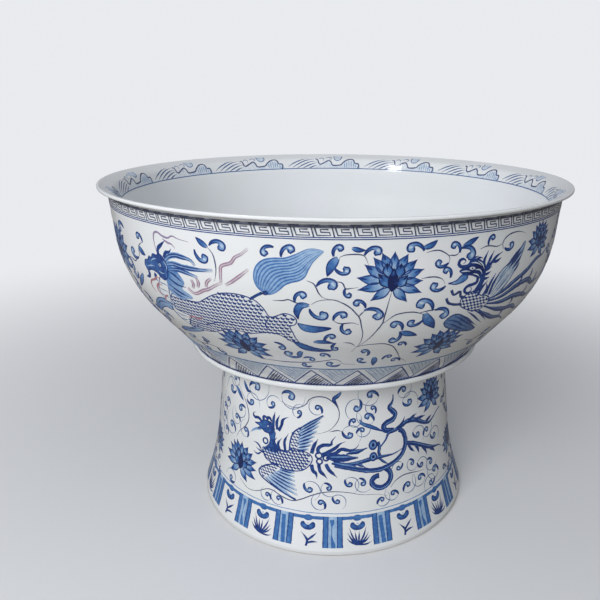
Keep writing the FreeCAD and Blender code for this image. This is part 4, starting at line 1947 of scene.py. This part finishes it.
class BowlScroll(Scroll):
    """Vines, leaves and lotuses of half the bowl's frieze."""

    vines = [
        [(-22, 94), (-17, 90.5), (-10, 88.5), (0, 88.5), (8, 92), (15, 97), (21, 104), (25, 110), (27, 118),
         (29, 127), (30, 133), (29, 145), (26, 153), (20, 164)],
        [(-26, 68.5), (-20, 71), (-17, 76), (-15, 81), (-11, 86), (-6, 87.5)],
        [(-60, 91.5), (-50, 91), (-44, 89.5), (-36, 93), (-24, 95)],
        [(4, 45), (10, 42.5), (20, 42), (27, 44), (31, 53)],
        [(0, 69), (7, 70), (10, 76), (14, 76), (22, 75)],
        [(86, 43), (92, 41.5), (100, 42), (109, 47.5), (111, 52), (110, 56)],
        [(109, 47.5), (118, 48), (121, 44)], [(83, 69), (92, 68), (100, 69), (106, 72), (109, 77)],
        [(24, 108), (27, 104), (30, 101)], [(-1, 113), (3, 116), (8, 117), (18, 116), (25, 119)],
        [(50, 118), (60, 109), (68, 106.5), (78, 106), (86, 108), (92, 111), (94, 116), (93, 121)],
        [(86, 108), (101, 106), (108, 106), (114, 107)],
        [(54, 82), (52, 95), (50, 110), (49, 118), (45, 127), (40, 136), (33, 146), (26, 154)],
        [(26, 154), (35, 151), (52, 150), (60, 152), (68, 157), (74, 165), (80, 175), (86, 185), (93, 191),
         (100, 197)],
        [(-100, 192), (-60, 192), (-30, 189), (-10, 184), (0, 181), (8, 185), (11, 191), (28, 193)],
        [(10, 146), (18, 147), (24, 153)],
        [(-124, 43), (-119, 49), (-117, 58), (-117, 66), (-119, 74), (-121, 78)],
        [(146, 45), (153, 43), (160, 43.5), (168, 45), (175, 43.5), (178, 41)],
        [(178, 49), (176, 42), (180, 37), (188, 34), (198, 33.5), (206, 35), (214, 38)],
        [(-221, 52), (-228, 55), (-232, 60), (-233, 68), (-238, 72)],
        [(-238, 72), (-248, 78), (-258, 76), (-268, 77)]]
    left_curls = [
        ((-1, 44), (4, 36)), ((27, 43), (38, 39)), ((110, 55), (100, 55)), ((110, 79), (98, 79)),
        ((-17, 74), (-3, 72)), ((29, 101), (43, 107)), ((-1, 113), (8, 106)), ((93, 118), (81, 121)),
        ((104, 107), (117, 114)), ((-122, 41), (-109, 40)), ((-49, 46), (-41, 38)), ((-38, 92), (-31, 84)),
        ((-10, 144), (-3, 136)), ((122, 42), (135, 49)), ((156, 42), (160, 35)), ((-236, 71), (-248, 67)),
        ((-267, 77), (-262, 88)), ((-68, 151), (-61, 160)), ((-40, 176), (-55, 173)),
        ((-38, 180), (-28, 182)), ((-30, 198), (-39, 196)), ((8, 193), (-5, 192)),
        ((-238, 148), (-246, 158)), ((-262, 120), (-256, 130)), ((-280, 104), (-276, 116)),
        ((-205, 176), (-214, 180)), ((-252, 92), (-262, 98)), ((42, 189), (33, 183)),
        ((62, 185), (69, 179)), ((70, 132), (66, 145))]
    right_curls = [
        ((0, 55), (10, 58)), ((83, 41), (71, 37)), ((121, 46), (115, 38)), ((114, 71), (109, 63)),
        ((10, 76), (13, 83)), ((30, 98), (22, 92)), ((101, 107), (88, 97)), ((-24, 99), (-12, 107)),
        ((9, 117), (13, 128)), ((72, 130), (63, 121)), ((-140, 47), (-130, 55)), ((-56, 37), (-65, 42)),
        ((180, 48), (190, 47)), ((-221, 52), (-229, 46)), ((-266, 44), (-281, 45)), ((-5, 176), (-13, 171)),
        ((40, 174), (36, 164)), ((88, 192), (79, 188)), ((84, 158), (77, 153)), ((2, 147), (1, 157)),
        ((-222, 152), (-230, 144)), ((-270, 138), (-262, 146)), ((-296, 120), (-290, 132)),
        ((-190, 182), (-182, 176))]
    leaves = [
        ([(-124, 43), (-131, 39), (-137, 34)], 5), ([(3, 45), (-3, 53), (-7, 64)], 8),
        ([(-24, 95), (-33, 96), (-37, 104), (-36, 113)], 7),
        ([(93, 109), (98, 118), (104, 124), (111, 133)], 10), ([(-231, 58), (-226, 63), (-219, 66)], 6),
        ([(124, 40), (132, 37), (142, 32)], 5), ([(-23, 146), (-12, 145), (0, 147)], 5),
        ([(-38, 165), (-42, 172), (-44, 180)], 6), ([(50, 178), (52, 188), (52, 198)], 7),
        ([(70, 133), (82, 137), (93, 141)], 7), ([(82, 38), (90, 36), (96, 31)], 5),
        ([(15, 36), (22, 38), (28, 38)], 4), ([(-237, 91), (-247, 100), (-257, 108), (-265, 114)], 6)]
    lotuses = [
        Placing((54, 68)), Placing((-112, 166), 1.08), Placing((132, 166), 1.05), Placing((-299, 74), 1.12),
        Placing((248, 50), 0.78), Placing((316, 164), 0.9), Placing((-316, 164), 0.9),
        Placing((439.8, 84), 1.1)]
    side_middle = 439.8
    side_leaf = 10.5
    side_stems = [
        [(440, 102), (435, 130), (420, 152), (396, 170), (370, 178), (345, 174)],
        [(396, 170), (376, 154), (364, 132), (364, 108)],
        [(364, 108), (372, 88), (388, 72), (394, 54), (384, 40), (366, 38), (356, 48), (362, 60),
         (372, 58)], [(396, 170), (410, 182), (426, 189), (440, 191)]]
    stems = [
        [(364, 108), (350, 90), (330, 84), (314, 94), (312, 112), (324, 122), (336, 114)],
        [(312, 106), (298, 88), (294, 66), (304, 47), (322, 41), (334, 50), (328, 60)],
        [(-285, 126), (-272, 140), (-262, 158), (-264, 176), (-252, 190)],
        [(-225, 185), (-205, 191), (-182, 188), (-160, 191)],
        [(180, 172), (200, 180), (222, 176), (244, 182), (264, 178)]]


class PedestalScroll(Scroll):
    """Vines, leaves and lotuses of half the pedestal's field."""

    vines = [
        [(-70, 45), (-55, 50), (-42, 48), (-35, 43), (-31, 37), (-22, 33), (-10, 33.5), (0, 40), (6, 48),
         (7, 58), (4, 66), (-4, 75), (-15, 80), (-30, 83)], [(-5, 78), (5, 76), (12, 78)],
        [(-130, 172), (-115, 179), (-100, 177), (-85, 169), (-75, 168), (-65, 172), (-50, 175), (-38, 171),
         (-25, 164), (-10, 159), (5, 158), (20, 160), (35, 164), (55, 167), (68, 172)],
        [(73, 162), (80, 155), (92, 151), (105, 152), (118, 155), (130, 157)],
        [(-146, 118), (-140, 108), (-128, 96), (-122, 84), (-124, 72), (-130, 62), (-140, 52), (-148, 44)]]
    left_curls = [
        ((-124, 39), (-110, 35)), ((-154, 56), (-166, 57)), ((-69, 35), (-56, 36)), ((33, 37), (30, 48)),
        ((20, 70), (25, 64)), ((29, 81), (36, 77)), ((88, 38), (97, 34)), ((-11, 147), (-5, 153)),
        ((32, 142), (37, 149)), ((54, 180), (60, 175)), ((92, 134), (86, 139)), ((103, 133), (108, 139)),
        ((136, 147), (144, 152)), ((91, 173), (98, 166)), ((131, 109), (138, 103)),
        ((149, 177), (140, 181)), ((-140, 183), (-149, 181))]
    right_curls = [
        ((-147, 39), (-157, 38)), ((-128, 58), (-118, 59)), ((-89, 57), (-82, 52)), ((-47, 63), (-44, 56)),
        ((-15, 54), (-20, 47)), ((54, 57), (51, 50)), ((52, 67), (44, 60)), ((11, 77), (20, 83)),
        ((59, 36), (48, 32)), ((95, 51), (106, 54)), ((-140, 95), (-148, 90)), ((-130, 72), (-140, 75)),
        ((-150, 113), (-160, 106)), ((-123, 110), (-126, 101)), ((-35, 149), (-29, 157)),
        ((15, 142), (20, 149)), ((0, 165), (5, 171)), ((-10, 181), (-14, 173)), ((-62, 182), (-67, 176)),
        ((-78, 181), (-83, 176)), ((83, 174), (76, 170)), ((117, 143), (124, 148)),
        ((129, 168), (120, 164)), ((160, 173), (151, 166)), ((111, 97), (119, 103)),
        ((147, 114), (156, 119)), ((-170, 125), (-177, 120)), ((-170, 82), (-178, 78)),
        ((-180, 95), (-188, 90)), ((-181, 110), (-189, 105))]
    leaves = [
        ([(-136, 35), (-131, 42), (-126, 46), (-119, 45)], 4), ([(-154, 49), (-145, 55), (-135, 63)], 5),
        ([(10, 26), (4, 32), (0, 36), (6, 46)], 4), ([(33, 63), (37, 69), (45, 73), (55, 78), (66, 84)], 4)]
    lotuses = [
        Placing((-134, 148), 0.98), Placing((153, 57), 0.94), Placing((259.2, 70), 0.92),
        Placing((208, 150), 0.8), Placing((-208, 150), 0.8)]
    side_middle = 259.2
    side_leaf = 8.5
    side_stems = [
        [(259, 86), (257, 112), (250, 134), (240, 150), (228, 160)],
        [(250, 134), (236, 124), (226, 108), (228, 90)],
        [(228, 90), (232, 72), (232, 54), (224, 42), (210, 40), (204, 48), (210, 56)],
        [(240, 150), (246, 166), (254, 175), (259, 178)],
        [(254, 175), (236, 182), (214, 184), (194, 181), (180, 184)]]
    stems = [[(228, 90), (220, 76), (206, 72), (196, 80), (196, 94), (204, 102), (212, 94)]]
    sweep = 190.0


@dataclass
class PaintedWall:
    """A stretch of a turned outline that carries brushwork.

    reference is the radius in millimetres at which the drawing's u is true, and start the distance
    down the wall, in millimetres, at the curve's first point.
    """

    curve: Object
    body: str
    slot: str
    reference: float
    start: float
    side: Side
    trees: WheelTrees
    finish: Material
    sharp: float = math.radians(40.0)
    spent: tuple[str, ...] = ("width", "start", "end", "straight", "lift")

    def paint(self, name: str, drawing: Drawing) -> None:
        """Rolls a drawing onto the wall, repeated evenly round it.

        Args:
            name: Name of the finished piece.
            drawing: What is painted.
        """
        pitch = math.tau * self.reference / drawing.count
        piece = settled(drawing.sheet(pitch).flat_object(name), self.trees.paint, {
            "Outline": self.curve,
            "Count": drawing.count,
            "Pitch": pitch * MM,
            "Reference Radius": self.reference * MM,
            "Side": self.side.value,
            "Start": self.start * MM,
            "Step": drawing.step * MM,
            "Tremor": drawing.tremor * MM,
            "Finish": self.finish,
        })
        piece.data.set_sharp_from_angle(angle=self.sharp)
        for mark in self.spent:
            layer = piece.data.attributes.get(mark)
            if layer is not None:
                piece.data.attributes.remove(layer)
        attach(piece, self.body)
        log.info("%s: %d faces", name, len(piece.data.polygons))


@dataclass
class TurnedPiece:
    """A piece that is thrown again as a smooth shell from its CAD outline."""

    node: str
    slot: str
    trees: WheelTrees
    finish: Material
    segments: int = 288

    def shell(self) -> Outline:
        """Throws the shell that stands for the node.

        Returns:
            The outline that was read from the node.
        """
        outline = Outline(self.node)
        name = self.node + "_shell"
        curve = Outline.curve(name + "_outline", outline.points, True)
        piece = settled(linked(name, bpy.data.meshes.new(name)), self.trees.throw, {
            "Outline": curve, "Segments": self.segments, "Finish": self.finish})
        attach(piece, self.node)
        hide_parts(self.node)
        log.info("%s: %d faces", name, len(piece.data.polygons))
        return outline


@dataclass
class PaintedPiece(TurnedPiece):
    """A turned piece with brushwork on its walls."""

    cobalt: Material | None = None

    def wall(self, name: str, spots: Path, reference: float, start: float, side: Side) -> PaintedWall:
        """Makes a wall to paint.

        Args:
            name: Name of the wall's curve.
            spots: The wall's outline from its top down.
            reference: Radius in millimetres at which a drawing's u is true.
            start: Distance down the wall at its first point, in millimetres.
            side: Which way the wall faces.

        Returns:
            The wall.
        """
        curve = Outline.curve(name, spots, False)
        return PaintedWall(curve, self.node, self.slot, reference, start, side, self.trees, self.cobalt)


@dataclass
class Bowl(PaintedPiece):
    """The porcelain bowl: its shell and everything painted on it."""

    wall_reference: float = 280.0
    foot_slack: float = 0.2 * MM
    lip_reference: float = 285.0
    border_drop: float = 3.5
    inside_low: float = 0.3

    def build(self) -> None:
        """Throws the shell and paints it."""
        outline = self.shell()
        wall = self.outer_wall(outline)
        scroll = BowlScroll()
        wall.paint("bowl_key_fret", KeyFret())
        wall.paint("bowl_folded_ribbon", FoldedRibbon())
        wall.paint("bowl_scroll", scroll)
        wall.paint("bowl_lotuses", Flowers(scroll))
        wall.paint("bowl_qilin", Qilin())
        wall.paint("bowl_phoenix", CrestedBird())
        self.inner_wall(outline).paint("bowl_wave_border", WaveBorder())

    def outer_wall(self, outline: Outline) -> PaintedWall:
        """The outside, from the widest point of the lip down to the foot."""
        lowest = min(z for _, z in outline.points)
        foot = next(index for index, (_, z) in enumerate(outline.points) if z <= lowest + self.foot_slack)
        return self.wall("bowl_wall", outline.points[:foot + 1], self.wall_reference, 0.0, Side.OUTSIDE)

    def inner_wall(self, outline: Outline) -> PaintedWall:
        """The inside, from the crown of the lip down to half the depth.

        Args:
            outline: Outline of the turned piece.

        Returns:
            The wall to paint.
        """
        spots = outline.points[::-1]
        crown = max(range(len(spots)), key=lambda index: (round(spots[index][1], 5), spots[index][0]))
        path = spots[crown:] + spots[:crown]
        deep = next(index for index, (_, z) in enumerate(path) if z < self.inside_low)
        return self.wall("bowl_inside", path[:deep], self.lip_reference, -self.border_drop, Side.INSIDE)


@dataclass
class Pedestal(PaintedPiece):
    """The drum that carries the bowl: its shell and everything painted on it."""

    wall_reference: float = 165.0
    rim_height: float = 6.0 * MM

    def build(self) -> None:
        """Throws the shell and paints it."""
        wall = self.outer_wall(self.shell())
        scroll = PedestalScroll()
        wall.paint("pedestal_lappets", Lappets())
        wall.paint("pedestal_scroll", scroll)
        wall.paint("pedestal_lotuses", Flowers(scroll))
        wall.paint("pedestal_phoenix", Phoenix())

    def outer_wall(self, outline: Outline) -> PaintedWall:
        """The outside, from under the rim down to the foot.

        Args:
            outline: Outline of the turned piece.

        Returns:
            The wall to paint.
        """
        crown = max(z for _, z in outline.points)
        upward = [outline.points[0], *outline.points[::-1]]
        rim = next(index for index, (_, z) in enumerate(upward) if z > crown - self.rim_height)
        spots = upward[rim:0:-1]
        start = (crown - spots[0][1]) / MM
        return self.wall("pedestal_wall", spots, self.wall_reference, start, Side.OUTSIDE)


@dataclass
class Studio:
    """Pale floor, soft light and a camera where the photograph was taken from."""

    camera_at: Place = (0.0, -0.8496, 0.5587)
    pitch_down: float = math.radians(18.28)
    roll: float = math.radians(0.45)
    lens: float = 37.85
    sensor: float = 36.0
    shift: float = -0.0575
    floor_reach: float = 12.0
    floor_tone: Colour = colour(226, 228, 231)
    floor_bounce: Colour = colour(150, 146, 140)
    floor_roughness: float = 0.9
    sky_tone: Colour = colour(238, 240, 244)
    sky_light: float = 0.44
    sky_seen: float = 0.95
    floor_fade: tuple[float, float] = (0.35, 1.6)
    key_watts: float = 37.0
    key_at: Place = (-0.8, -1.8, 1.3)
    key_size: float = 1.3
    glint_watts: float = 5.0
    glint_at: Place = (-1.3, -1.3, 2.0)
    glint_size: float = 0.3
    aim: Place = (0.0, 0.0, 0.3)

    def build(self) -> None:
        """Sets up the whole studio."""
        scene = bpy.context.scene
        scene.view_settings.view_transform = "Standard"
        self.camera(scene)
        self.floor()
        self.sky(scene)
        key = self.lamp("key_softbox", self.key_at, self.key_watts, self.key_size)
        key.visible_glossy = False
        glint = self.lamp("glint_lamp", self.glint_at, self.glint_watts, self.glint_size)
        glint.visible_diffuse = False

    def camera(self, scene: bpy.types.Scene) -> None:
        """Places the camera.

        Args:
            scene: Scene to set up.
        """
        data = bpy.data.cameras.new("camera")
        data.lens = self.lens
        data.sensor_width = self.sensor
        data.shift_x = self.shift
        obj = linked("camera", data)
        obj.location = self.camera_at
        level = Matrix.Rotation(math.pi / 2 - self.pitch_down, 3, "X")
        obj.rotation_euler = (level @ Matrix.Rotation(self.roll, 3, "Z")).to_euler()
        scene.camera = obj

    def floor(self) -> None:
        """Lays a wide pale floor that keeps the object's shadow."""
        mesh = bpy.data.meshes.new("floor")
        far = self.floor_reach
        corners = [(-far, -far, 0.0), (far, -far, 0.0), (far, far, 0.0), (-far, far, 0.0)]
        mesh.from_pydata(corners, [], [(0, 1, 2, 3)])
        floor = linked("floor", mesh)
        graph, material = material_graph("studio_floor")
        shader = graph.only("BSDF_PRINCIPLED")
        seen = graph.add("ShaderNodeLightPath").outputs["Is Camera Ray"]
        graph.wire(shader, {"Base Color": graph.tint(seen, self.floor_bounce, self.floor_tone),
                            "Roughness": self.floor_roughness})
        glow = graph.add("ShaderNodeEmission", {"Color": self.sky_tone, "Strength": self.sky_seen})
        away = graph.add("ShaderNodeVectorMath", {0: graph.spot()}, operation="LENGTH").outputs["Value"]
        share = graph.product(graph.band(away, *self.floor_fade), seen)
        mixed = graph.add("ShaderNodeMixShader", {0: share, 1: shader.outputs[0], 2: glow.outputs[0]})
        graph.wire(graph.only("OUTPUT_MATERIAL"), {"Surface": mixed.outputs[0]})
        mesh.materials.append(material)

    def sky(self, scene: bpy.types.Scene) -> None:
        """Gives an even light all round, seen as a pale backdrop.

        Args:
            scene: Scene to set up.
        """
        world = bpy.data.worlds.new("studio")
        world.use_nodes = True
        graph = Graph(world.node_tree)
        path = graph.add("ShaderNodeLightPath").outputs
        seen = graph.math("MAXIMUM", path["Is Camera Ray"], path["Is Transmission Ray"])
        graph.wire(graph.only("BACKGROUND"), {
            "Color": self.sky_tone, "Strength": graph.blend(seen, self.sky_light, self.sky_seen)})
        scene.world = world

    def lamp(self, name: str, at: Place, watts: float, size: float) -> Object:
        """Hangs one square lamp and points it at the object.

        Args:
            name: Name of the lamp.
            at: Where it hangs.
            watts: Its power.
            size: Length of its side.

        Returns:
            The lamp.
        """
        data = bpy.data.lights.new(name, "AREA")
        data.energy = watts
        data.size = size
        obj = linked(name, data)
        obj.location = at
        obj.rotation_euler = (Vector(self.aim) - Vector(at)).to_track_quat("-Z", "Y").to_euler()
        return obj


BOWL_BARE_BELOW = 0.2335
PEDESTAL_BARE_BELOW = 0.8 * MM
RING_SHADE = colour(46, 46, 48)
PLUG_SHADE = colour(58, 57, 58)


def main() -> None:
    """Builds the planter's looks piece by piece."""
    logging.basicConfig(level=logging.INFO)
    groups = SurfaceGroups()
    trees = WheelTrees()
    cobalt = Cobalt("cobalt").material(groups)
    wares = ((Bowl, "bowl", BOWL_BARE_BELOW), (Pedestal, "pedestal", PEDESTAL_BARE_BELOW))
    for ware, node, bare_below in wares:
        name = node + "_porcelain"
        ware(node, name, trees, Porcelain(name, bare_below).material(groups), cobalt=cobalt).build()
    rubber = Rubber("seat_rubber", RING_SHADE).material(groups)
    TurnedPiece("seat_ring", "seat_rubber", trees, rubber).shell()
    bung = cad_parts["drain_plug"]
    bung.data.materials.clear()
    bung.data.materials.append(Rubber("plug_rubber", PLUG_SHADE).material(groups))
    Studio().build()
    for helper in [obj for obj in bpy.data.objects if obj.type == "CURVE"]:
        bpy.data.objects.remove(helper)


if __name__ == "__main__":
    main()
